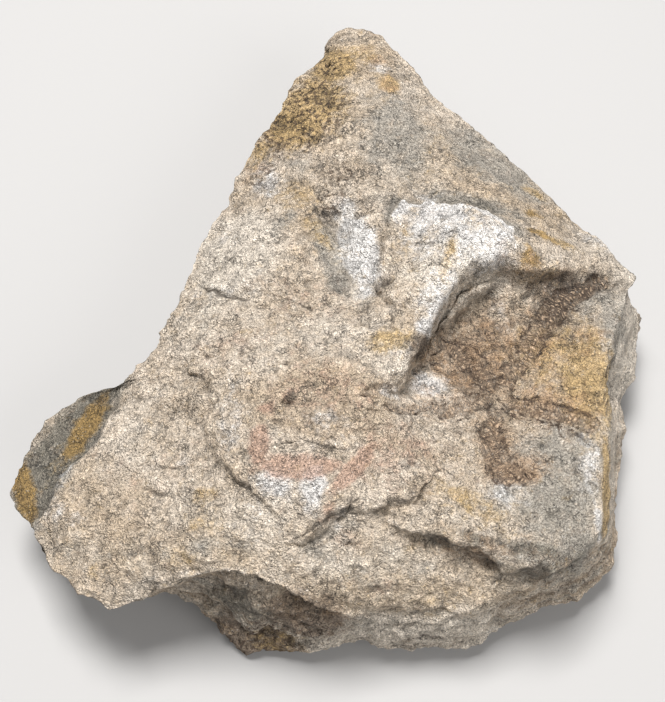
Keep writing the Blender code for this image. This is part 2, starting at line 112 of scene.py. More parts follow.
# Heights of named places on the face: x, y and height.
SPOT_HEIGHTS = {
    "point": (
        (3, 93, 34), (11, 81, 37), (1, 75, 39), (-9, 60, 39), (3, 50, 44), (17, 53, 44), (-15, 41, 41),
    ),
    "upper slope": (
        (0, 32, 45), (17, 36, 46), (30, 52, 40), (38, 39, 42), (28, 26, 46), (45, 25, 45), (57, 22, 42),
        (53, 36, 38), (65, 13, 40), (80, 7, 37),
    ),
    "raised block": (
        (18, 20, 51), (21, 7, 54), (32, 10, 57), (43, 10, 57), (48, 5, 56), (36, 3, 58.5), (26.5, -6, 58),
        (21, -13, 56), (15, -21, 55), (11, -30, 54),
    ),
    "channel": ((-1, 12, 44), (0, -1, 45), (5, 6, 49), (9, 16, 49), (-3, -12, 48)),
    "left shoulder": (
        (-12, 6, 49), (-22, 14, 46), (-28, 5, 45), (-20, -6, 48), (-36, 7, 41), (-40, -5, 41),
        (-31, -14, 46), (-17, -22, 50), (-3, -26, 52),
    ),
    "tongue": (
        (-11, -41, 54), (-1, -42, 55), (10, -41, 54), (-22, -39, 51), (-30, -43, 48), (-26, -54, 52),
        (-13, -58, 56), (-3, -61, 56), (7, -60, 52), (15, -53, 50), (20, -58, 49), (7, -49, 54),
        (-11, -72, 53),
    ),
    "left lobe": (
        (-47, -30, 41), (-51, -41, 41), (-40, -51, 43), (-64, -57, 38), (-71, -68, 37), (-55, -69, 41),
        (-62, -81, 37), (-46, -80, 42), (-36, -71, 45), (-31, -81, 46), (-21, -79, 47), (-11, -81, 46),
        (-3, -76, 46),
    ),
    "near slope": (
        (4, -74, 48), (15, -70, 48), (22, -66, 48), (2, -85, 42), (15, -84, 38), (28, -79, 38),
        (10, -91, 27), (26, -90, 27), (41, -85, 31),
    ),
    "grey ridge": (
        (25, -71, 50), (38, -73, 45), (48, -77, 43), (56, -78, 42), (61, -70, 43), (51, -65, 44),
        (59, -57, 45), (41, -65, 45), (66, -54, 44),
    ),
    "star hollow": (
        (42, -33, 40), (30, -22, 37), (39, -10, 38), (56, -5, 40), (70, -1, 39), (61, -17, 39),
        (71, -22, 43), (64, -36, 41), (68, -43, 44), (53, -45, 42), (42, -50, 42), (29, -45, 43),
        (24, -36, 41), (18, -36, 42),
    ),
}
# How loosely the face follows those heights.
SPOT_SLACK = 2.0


@dataclass(frozen=True)
class Ledge:
    """A step in the face, high on the left of its route.

    Attributes:
        route: x, y and drop along the step's top edge.
        width: Plan width of the step.
        reach: How far the step's effect runs out on both sides.
        overhang: How far the top edge leans out over the foot, for each millimetre of drop.
    """

    route: Route
    width: float = 0.8
    reach: float = 9.0
    overhang: float = 0.0


@dataclass(frozen=True)
class Furrow:
    """A groove, or a ridge where the depth is negative, along a route.

    Attributes:
        route: x, y and depth along the furrow's middle.
        half_width: Half of its width.
    """

    route: Route
    half_width: float


@dataclass(frozen=True)
class Swell:
    """A round lump on the face, or a pit where its rise is negative.

    Attributes:
        at: x and y of its middle.
        radii: Its half-sizes along X and Y.
        rise: Its height.
    """

    at: tuple[float, float]
    radii: tuple[float, float]
    rise: float


@dataclass(frozen=True)
class FlankBand:
    """A part of the flank that is pushed out, or in where the push is negative.

    Attributes:
        bearing: Bearing of its middle seen from the block's middle, in degrees anticlockwise from +X.
        spread: Half of its width, in degrees.
        share: Its place down the flank, from 0 at the face to 1 at the skirt.
        share_spread: Half of its height, as a share of the flank.
        push: How far it moves out.
    """

    bearing: float
    spread: float
    share: float
    share_spread: float
    push: float


# The steps in the face: x, y and drop along the top edge of each.
LEDGES = {
    "wall over the star": Ledge((
        (4, -41, 1), (11.5, -36.5, 4), (15, -32.5, 7.5), (17.2, -27.5, 9.5), (20.5, -23, 10.5),
        (22.2, -16.9, 11), (25.7, -11.5, 11), (29.6, -6, 11), (35.6, -0.6, 10.5), (44.2, 1, 9),
        (50, -0.3, 6), (57, 2, 5), (64.5, 4.5, 5), (70, 3.5, 5), (77, 2.5, 4), (84, 2, 2),
    ), width=1.3, reach=13, overhang=0.12),
    "ridge at the wall's foot": Ledge((
        (23, -25, 0), (25.2, -20.5, 2), (28, -15.5, 4.5), (31, -11, 6.5), (34.5, -7.5, 7),
        (38.5, -4.8, 6.5), (42, -2.6, 4), (44.8, -0.8, 0),
    ), width=0.9, reach=9),
    "raised block's far edge": Ledge((
        (47.5, 3, 0), (46.8, 10.5, 2), (39.5, 16, 3.5), (32, 18, 4), (24.5, 20.5, 4), (18, 21, 3.5),
        (15, 15, 3.5), (13.5, 8, 3), (11.5, 1, 2.5), (10, -4.5, 3), (13.5, -10.5, 3), (19, -18, 0),
    ), width=0.9, reach=8, overhang=0.1),
    "tongue's near edge": Ledge((
        (-14, -77, 0), (-7.5, -74.5, 3.5), (-3, -70.5, 5), (2, -67, 6), (5.5, -69.5, 3.5), (11, -67.5, 4.5),
        (17.5, -66.5, 4), (19.5, -63, 3), (25, -59, 0),
    ), width=0.9, reach=8, overhang=0.25),
    "tongue's left edge": Ledge((
        (-46.5, -24, 0), (-40.5, -27.5, 1.6), (-34, -31.5, 2.2), (-33, -35.5, 2.2), (-34, -47, 1.8),
        (-33.5, -53, 2.2), (-28, -61, 2.6), (-22.5, -63, 2.4), (-20.5, -66.5, 1.8), (-14.5, -72, 1.2),
        (-11, -74.5, 0),
    ), width=0.7, reach=7),
    "grey ridge's near edge": Ledge((
        (11, -72, 0), (16, -72.5, 3.5), (21, -73.5, 5.5), (29, -75, 6.5), (35, -75, 7), (43.5, -79, 8),
        (53, -79.5, 9), (57, -84, 6), (61, -87, 0),
    ), width=1.1, reach=9, overhang=0.32),
    "near slope's step": Ledge((
        (-5, -84, 0), (3, -88, 2.5), (12, -89.5, 3), (23, -90, 2.5), (30, -88, 0),
    ), width=1, reach=6),
    "channel's left side": Ledge((
        (-1.5, -10.5, 0), (0, -2.5, 1.5), (0, 4, 2.5), (-2.5, 12, 3.5), (-5.5, 16.5, 3), (-9, 22, 0),
    ), width=2.4, reach=8),
    "left shoulder's crack": Ledge((
        (-43, 1.5, 0.5), (-38, -2, 0.9), (-31, -4, 0.8), (-25.5, -4, 0.4), (-19, -6.5, 0.5), (-14, -9.5, 1),
        (-8.5, -11, 0),
    ), width=0.5, reach=5),
    "left lobe's grey layer": Ledge((
        (-61, -28, 1), (-62, -36, 3), (-63.5, -42.5, 3.5), (-69.5, -51.5, 3.5), (-74.5, -59, 3),
        (-76, -63, 2.5), (-81.5, -70.5, 1),
    ), width=1.2, reach=7),
    "tongue's crack": Ledge((
        (-18, -56, 0), (-11, -53.5, 1.2), (-3, -53.5, 1.6), (3, -53, 0.8), (9, -54.5, 0),
    ), width=0.5, reach=4),
    "left lobe's low steps": Ledge((
        (-66, -52, 0), (-56, -53, 1), (-46, -55, 1.2), (-36, -56.5, 1), (-32, -58, 0),
    ), width=0.8, reach=4.5),
}

# Number of corners at the start of the raised block's far edge along which the edge is white.
BLOCK_EDGE_CORNERS = 7

FURROWS = {
    "undercut below the raised block": Furrow((
        (18.6, -28.5, 0), (21.8, -23.8, 1), (23.4, -17.7, 2), (26.9, -12.4, 2.2), (30.7, -7.1, 2.2),
        (36.6, -2.1, 2.2), (44.2, -0.7, 2), (50, -1.8, 1.2), (57, 0.7, 1), (64, 3.2, 0),
    ), 0.8),
    "channel inside the right edge": Furrow((
        (73.5, -46, 0), (71.5, -55, 1.6), (70.5, -65, 1.8), (72, -74, 0),
    ), 1.5),
    "crest beside the channel": Furrow((
        (70.5, -41, 0), (67.5, -50, -1), (66.5, -61, -1.3), (68, -70, -1.4), (70.5, -75, 0),
    ), 1.4),
}

SWELLS = {
    "bore in the tongue": Swell((-12.8, -41), (1.6, 1.4), -3.0),
    "pit at the block's corner": Swell((10.5, -6), (2.2, 1.8), -2.4),
    "pits of the pitted zone": Swell((1.5, 34), (3.6, 2.6), -0.8),
    "knob at the grey ridge's end": Swell((62, -80), (6.0, 5.0), 2.2),
    "knob on the near slope": Swell((30, -83), (9.0, 4.0), 1.5),
}

# Cracks, whose dark insides are painted shade: x, y and depth along each, and half of its width.
CRACKS = {
    "across the far shoulder": Furrow((
        (-41, 0.5, 0.4), (-37, -3, 1), (-32.5, -5, 0.9), (-29, -6, 0.8), (-21, -8, 0.2),
    ), 0.5),
    "across the near shoulder": Furrow((
        (-16.5, -8, 0.4), (-13, -9.5, 0.9), (-10, -10.5, 1.2), (-7.5, -11.5, 1),
    ), 0.5),
    "by the tongue's root": Furrow((
        (-42.5, -21.5, 0.2), (-38, -23, 0.7), (-35, -25, 0.7), (-30, -25.5, 0.2),
    ), 0.45),
    "above the bore": Furrow(((-25, -23, 0.3), (-20, -23, 0.5)), 0.4),
    "right of the bore": Furrow((
        (-20, -31, 0.2), (-16.5, -31, 0.6), (-15, -30, 0.7), (-13.5, -29, 0.3),
    ), 0.4),
    "mid face's hook": Furrow(((-4, -32, 0.5), (-2, -32.5, 0.8), (-1.5, -31, 0.4)), 0.4),
    "upper shoulder": Furrow(((-25.5, 4.5, 0.2), (-21, 4.5, 0.5), (-18.5, 5.5, 0.3)), 0.45),
    "shoulder's far side": Furrow(((-13.5, 11, 0.3), (-10, 6.5, 0.5), (-9.5, 4, 0.2)), 0.4),
    "below the yellow spot": Furrow(((6, -29, 0.3), (6.5, -31.5, 0.6), (10, -31.5, 0.3)), 0.4),
    "foot of the channel": Furrow(((-5.5, -19, 0.3), (-0.5, -20.5, 0.6), (2, -20.5, 0.2)), 0.45),
    "along the tongue's left side": Furrow((
        (-39, -31, 0.3), (-35, -33.5, 0.7), (-32.5, -36, 0.9), (-32.5, -38.5, 0.8), (-34, -40, 0.3),
    ), 0.45),
    "tongue's left contour": Furrow((
        (-33.5, -45.5, 0.2), (-34.5, -48.5, 0.4), (-32.5, -54.5, 0.5), (-30, -58.5, 0.6), (-27, -62.5, 0.9),
        (-21, -65, 1), (-19.5, -67.5, 0.8), (-17, -70, 0.6), (-15.5, -72.5, 0.2),
    ), 0.5),
    "left lobe's long crack": Furrow((
        (-56, -52.5, 0.2), (-49, -54, 0.6), (-44.5, -56, 0.7), (-40, -56.5, 0.3),
    ), 0.45),
    "left lobe's short crack": Furrow((
        (-52.5, -61, 0.4), (-48, -63.5, 0.8), (-46, -63, 0.6), (-42.5, -60.5, 0.3),
    ), 0.45),
    "across the tongue": Furrow((
        (-15.5, -54, 0.5), (-13.5, -53, 0.8), (-11, -52, 0.9), (-7.5, -53, 0.8), (-3, -53.5, 0.9),
        (0, -53.5, 0.3),
    ), 0.5),
    "above the tongue's crack": Furrow((
        (-13, -44.5, 0.3), (-11, -48.5, 0.5), (-8.5, -50.5, 0.5), (-3, -52, 0.7), (0, -48.5, 0.4),
    ), 0.45),
    "tongue's near contour": Furrow((
        (-13, -77, 0.3), (-10, -75, 0.8), (-7, -73, 0.9), (-4, -71.5, 0.9), (0, -68.5, 1),
        (2.5, -67.5, 1.1), (3.5, -68.5, 0.7),
    ), 0.55),
    "past the tongue": Furrow((
        (5, -70, 0.4), (8, -69, 0.8), (11, -67.5, 0.8), (14.5, -67, 0.9), (16.5, -67, 1), (19, -64.5, 1),
        (20, -63, 0.8), (23, -60, 0.8), (25.5, -58.5, 0.7), (29, -60.5, 0.3),
    ), 0.5),
    "under the tongue's point": Furrow(((-18.5, -74, 0.3), (-16.5, -76.5, 0.6)), 0.4),
    "west of the star": Furrow(((4.5, -42, 0.5), (6, -42, 1.2), (9, -42.5, 0.9), (11, -42, 0.4)), 0.5),
    "west of the star, lower": Furrow((
        (12, -43.5, 0.6), (13, -43.5, 1.2), (14.5, -44, 0.8), (16.5, -42.5, 0.4),
    ), 0.5),
    "near slope's branch": Furrow((
        (20, -73, 0.6), (22, -74, 1.2), (22.5, -76.5, 0.9), (22, -78, 0.3),
    ), 0.5),
    "under the grey ridge": Furrow((
        (22, -74, 0.6), (24.5, -74.5, 1), (28, -75, 0.9), (30.5, -75, 0.9), (33, -75.5, 0.6),
        (36.5, -76, 0.6), (40.5, -78, 0.6), (43.5, -79, 0.4),
    ), 0.5),
    "near slope's spur": Furrow(((28.5, -75, 0.5), (28.5, -76.5, 0.6)), 0.4),
    "under the ridge's knob": Furrow((
        (43.5, -79, 0.5), (48, -79, 0.9), (51.5, -79, 1.1), (53.5, -80, 1.2), (55.5, -81.5, 0.8),
        (58.5, -83.5, 0.8), (62.5, -83, 0.3),
    ), 0.55),
    "near slope's scratch": Furrow(((11, -73.5, 0.3), (13, -74.5, 0.6), (14.5, -76, 0.3)), 0.4),
    "near slope's low crack": Furrow((
        (7, -89, 0.2), (11, -89.5, 0.6), (16.5, -89.5, 0.6), (18, -89, 0.3),
    ), 0.45),
    "near slope's rise": Furrow(((-1, -81.5, 0.4), (0.5, -83, 0.6), (2, -84.5, 0.3)), 0.4),
    "left lobe's rim crack": Furrow(((-31, -78, 0.3), (-25.5, -79.5, 0.5), (-23, -81.5, 0.3)), 0.4),
    "foot of the tongue": Furrow(((-1.5, -78, 0.4), (0.5, -76.5, 0.6), (5, -73.5, 0.4)), 0.45),
    "point's far side": Furrow(((9, 41.5, 0.3), (11.5, 38, 0.5), (10.5, 34.5, 0.2)), 0.4),
    "left of the pitted stone": Furrow(((-23, 35, 0.3), (-20.5, 30.5, 0.6), (-17.5, 24, 0.4)), 0.4),
    "scoop's upper end": Furrow(((-9.5, 30.5, 0.5), (-6.5, 27, 0.9), (-4.5, 22.5, 0.6)), 0.5),
}


@dataclass(frozen=True)
class Flaking:
    """Short broken steps that face the near side of the block.

    Attributes:
        pitch: Distance from one step to the next.
        stand: Height of a step.
        run: How long a step goes on before it dies away.
        seed: Picks its own pattern.
    """

    pitch: float
    stand: float
    run: float
    seed: float


FLAKINGS = (Flaking(6.2, 0.85, 13.0, 3.0), Flaking(2.9, 0.48, 6.0, 11.0), Flaking(1.5, 0.22, 3.2, 29.0))
# The bends in the flakes' edges: size as a share of the pitch, and how far they move the edge.
FLAKE_BENDS = ((2.6, 1.1), (0.9, 0.35))
# How far apart two neighbouring steps lie in the noise that breaks them off.
FLAKE_LANES = 7.3
# A step climbs over this share of its pitch, and then falls over this width.
FLAKE_BREAK = 0.84
FLAKE_BREAK_WIDTH = 0.16

# Lumps of every size down to the grain: size and how far they stand out.
FINE_LUMPS = ((4.4, 0.50), (2.2, 0.36), (1.2, 0.2), (0.7, 0.08))


@dataclass(frozen=True)
class Arm:
    """One arm of the star.

    Attributes:
        route: x, y and half-width along the arm's middle, from the star's centre out.
        depth: How deep its mould is.
        crispness: How clearly its plates show, from 0 to 1.
    """

    route: Route
    depth: float
    crispness: float


# The star: where its arms meet, the disc they meet in, and each arm.
STAR_CENTRE = (42.5, -33.5)
STAR_DISC_RADIUS = 4.2
STAR_ARMS = {
    "upper right": Arm((
        (43.5, -32, 1.7), (45, -28.5, 2.4), (48, -24, 2.9), (52, -19.5, 3.2), (55, -14, 3.4),
        (58.5, -9.5, 3.5), (62.5, -5.5, 3.5), (66, -2.5, 3.1), (70.5, 0.5, 2.4), (75, 1.5, 1.4),
    ), 0.8, 1),
    "right": Arm((
        (43.5, -34, 1.7), (48, -36.5, 2.4), (54, -38.5, 2.6), (58, -40, 2.6), (62.5, -41, 2.6),
        (66, -43, 2.4), (68, -43.5, 1.4),
    ), 0.7, 0.9),
    "near": Arm((
        (42, -35.5, 1.5), (41, -41.5, 2.1), (40, -45.5, 2.9), (40, -50, 3.8), (41.5, -54, 4.2),
        (44.5, -58, 3.4), (48, -58.5, 2.1), (50, -58, 0.9),
    ), 0.5, 1),
    "left": Arm((
        (41.5, -34.5, 1.5), (37, -35.5, 2), (33, -38, 2.7), (28, -38.5, 2.3), (22.5, -38.5, 1.8),
        (15, -42, 1.2), (11, -43.5, 0.7),
    ), 0.6, 0.7),
    "upper left": Arm((
        (42, -31.5, 1.7), (39, -27, 2.2), (36, -23.5, 2.5), (32.5, -18.5, 2.5), (28.5, -16.5, 2.1),
        (24, -20.5, 1.5),
    ), 0.6, 0.8),
}

# Broken dark lines along the arms, grooves whose darkness is painted shade: x, y and how strong each is
# there.
STAR_LINES = {
    "right arm": (
        (
            (45.5, -33, 0.2), (46.5, -34, 0.8), (49, -34.5, 0.6), (51, -35, 0.8), (53, -34.5, 0.7),
            (55, -35.5, 0.8), (58, -37, 0.7), (60.5, -37.5, 1), (62.5, -38, 1), (65.5, -39.5, 0.9),
            (67.5, -41, 0.3),
        ),
        (
            (43.5, -37, 0.4), (44.5, -39, 0.8), (46.5, -40, 0.8), (48, -41, 0.6), (50.5, -41.5, 0.6),
            (52.5, -42, 0.9), (56, -43.5, 1), (58, -44, 0.9), (61.5, -45.5, 0.6), (63.5, -47.5, 0.4),
        ),
        ((51, -36.5, 0.3), (53, -37.5, 0.7), (54.5, -38, 0.7), (56.5, -39, 0.5), (59, -39.5, 0.2)),
        ((58, -43.5, 0.8), (58, -45.5, 0.8), (58.5, -47.5, 0.6), (61, -48.5, 0.2)),
    ),
    "left arm": (
        ((22.5, -37.5, 0.3), (24, -37, 0.8), (25.5, -37.5, 0.8), (28, -37, 0.4)),
        ((29, -38, 0.4), (31.5, -37.5, 0.7)),
        ((32.5, -33.5, 0.4), (33, -34, 0.9), (35, -34, 0.8), (36, -33.5, 0.6), (37.5, -33, 0.3)),
        ((35.5, -30, 0.4), (37.5, -30.5, 0.9), (38, -31.5, 0.9), (39.5, -32, 0.8), (40.5, -32.5, 0.4)),
        ((17.5, -42.5, 0.3), (20, -41, 0.7), (22, -40, 0.6), (23, -39, 0.3)),
        ((24.5, -41, 0.4), (25.5, -41.5, 0.8), (27, -42, 0.7), (28, -40.5, 0.3)),
        ((29.5, -43, 0.4), (31, -42.5, 0.9), (33, -41.5, 0.8), (34.5, -41, 0.3)),
        ((35.5, -39, 0.3), (37, -38.5, 0.7), (39, -38, 0.8), (40, -36.5, 1), (40.5, -35.5, 0.5)),
    ),
    "near arm": (
        ((39, -42.5, 0.3), (38, -43.5, 0.8), (37, -45, 0.7), (35.5, -46, 0.3)),
        ((43, -40, 0.5), (42.5, -42, 0.9), (42, -43.5, 0.7), (43, -45, 0.3)),
        ((36, -47, 0.3), (37.5, -47.5, 0.6), (39.5, -46.5, 0.6), (41.5, -46, 0.3)),
        ((36.5, -48, 0.2), (38.5, -48.5, 0.6), (40.5, -49, 0.6), (41.5, -48, 0.3)),
        ((38.5, -49.5, 0.3), (40, -50, 0.7), (42, -49.5, 0.4)),
        ((39.5, -57.5, 0.5), (39.5, -59.5, 0.9), (41, -60.5, 1), (42.5, -59.5, 0.5)),
        ((44, -57.5, 0.6), (45, -58.5, 0.9), (46, -59.5, 0.8), (47, -58.5, 0.4)),
        ((47.5, -57, 0.5), (48.5, -58, 0.9), (49, -59, 0.4)),
    ),
    "upper left arm": (
        (
            (28.5, -15.5, 0.5), (30, -16.5, 1), (33, -16.5, 0.8), (35.5, -17.5, 0.5), (37.5, -18.5, 0.6),
            (39, -21, 0.6), (40.5, -23, 0.8), (41.5, -25.5, 0.6),
        ),
        ((24, -23.5, 0.4), (26, -24, 0.6), (30, -22.5, 0.3)),
        ((31.5, -23.5, 0.4), (33.5, -25.5, 0.7), (35.5, -25, 0.6), (36.5, -26.5, 0.5), (38, -28.5, 0.4)),
    ),
    "disc, far edge": (
        ((41.5, -28, 0.4), (43, -28, 0.9), (44.5, -26.5, 0.7)),
    ),
    "upper right arm": (
        ((44.5, -23, 0.4), (45.5, -24, 0.9), (46, -23, 0.4)),
        ((48.5, -20, 0.5), (49, -20, 0.9), (49.5, -18.5, 0.6)),
        ((49.5, -16.5, 0.5), (51, -14.5, 0.9), (51.5, -15, 0.4)),
        ((52.5, -13, 0.7), (53, -11.5, 1), (53.5, -10.5, 0.5)),
        ((48, -27.5, 0.3), (49, -28.5, 0.6), (51.5, -28.5, 0.3)),
        ((55.5, -18.5, 0.9), (56, -18, 0.9), (56.5, -16.5, 0.4)),
        ((55.5, -15.5, 0.6), (57, -15, 0.6)),
        ((58, -13.5, 0.4), (59.5, -12.5, 0.8), (61, -11, 0.7), (62, -10.5, 0.3)),
        ((62, -7, 0.4), (63.5, -7.5, 0.7), (65.5, -9, 0.8), (66.5, -9, 0.3)),
    ),
    "disc, right edge": (
        ((44.5, -32, 0.5), (46.5, -31.5, 0.8), (48, -30.5, 0.4)),
    ),
}


@dataclass(frozen=True)
class Patch:
    """A stain, a kind of surface, or painted light and shade, on an oval part of the block.

    Attributes:
        at: x, y and height of its middle.
        radii: Its half-sizes along its own two axes.
        strength: How much of the surface it takes, from 0 to 1 and a little over.
        turn: Degrees from +X to its first axis, anticlockwise seen from above.
        depth: Half of its height.
    """

    at: tuple[float, float, float]
    radii: tuple[float, float]
    strength: float = 1.0
    turn: float = 0.0
    depth: float = 9.0


class Pigment(Enum):
    """What lies over the buff stone: stains and kinds of surface, with painted light and shade in some cream,
    slate and black patches. Each is a mask that the mesh carries under this name.
    """

    CREAM = "cream"
    TAN = "tan"
    GREY = "grey"
    SLATE = "slate"
    AMBER = "amber"
    OCHRE = "ochre"
    RUST = "rust"
    PINK = "pink"
    WHITE = "white"
    BROWN = "brown"
    BLACK = "black"
    PITTED = "pitted"
    SMOOTH = "smooth"


class Trace(Enum):
    """What the form leaves on the surface. Each is a mask that the mesh carries under this name."""

    FLANK = "flank"
    CAVITY = "cavity"
    CRACK = "crack"
    ARM = "star_arm"
    ARM_MARGIN = "arm_margin"
    ARM_ACROSS = "arm_across"
    LINE = "star_line"
    LINE_SIDE = "line_side"
    PLATE_ROW = "plate_row"
    PLATE_COLUMN = "plate_column"
    HOLLOW = "hollow"


def patches(*rows: tuple[float, ...]) -> tuple[Patch, ...]:
    """Patches from rows of x, y, height, two radii and, where they aren't usual, strength, turn and depth."""
    return tuple(Patch(row[:3], row[3:5], *row[5:]) for row in rows)


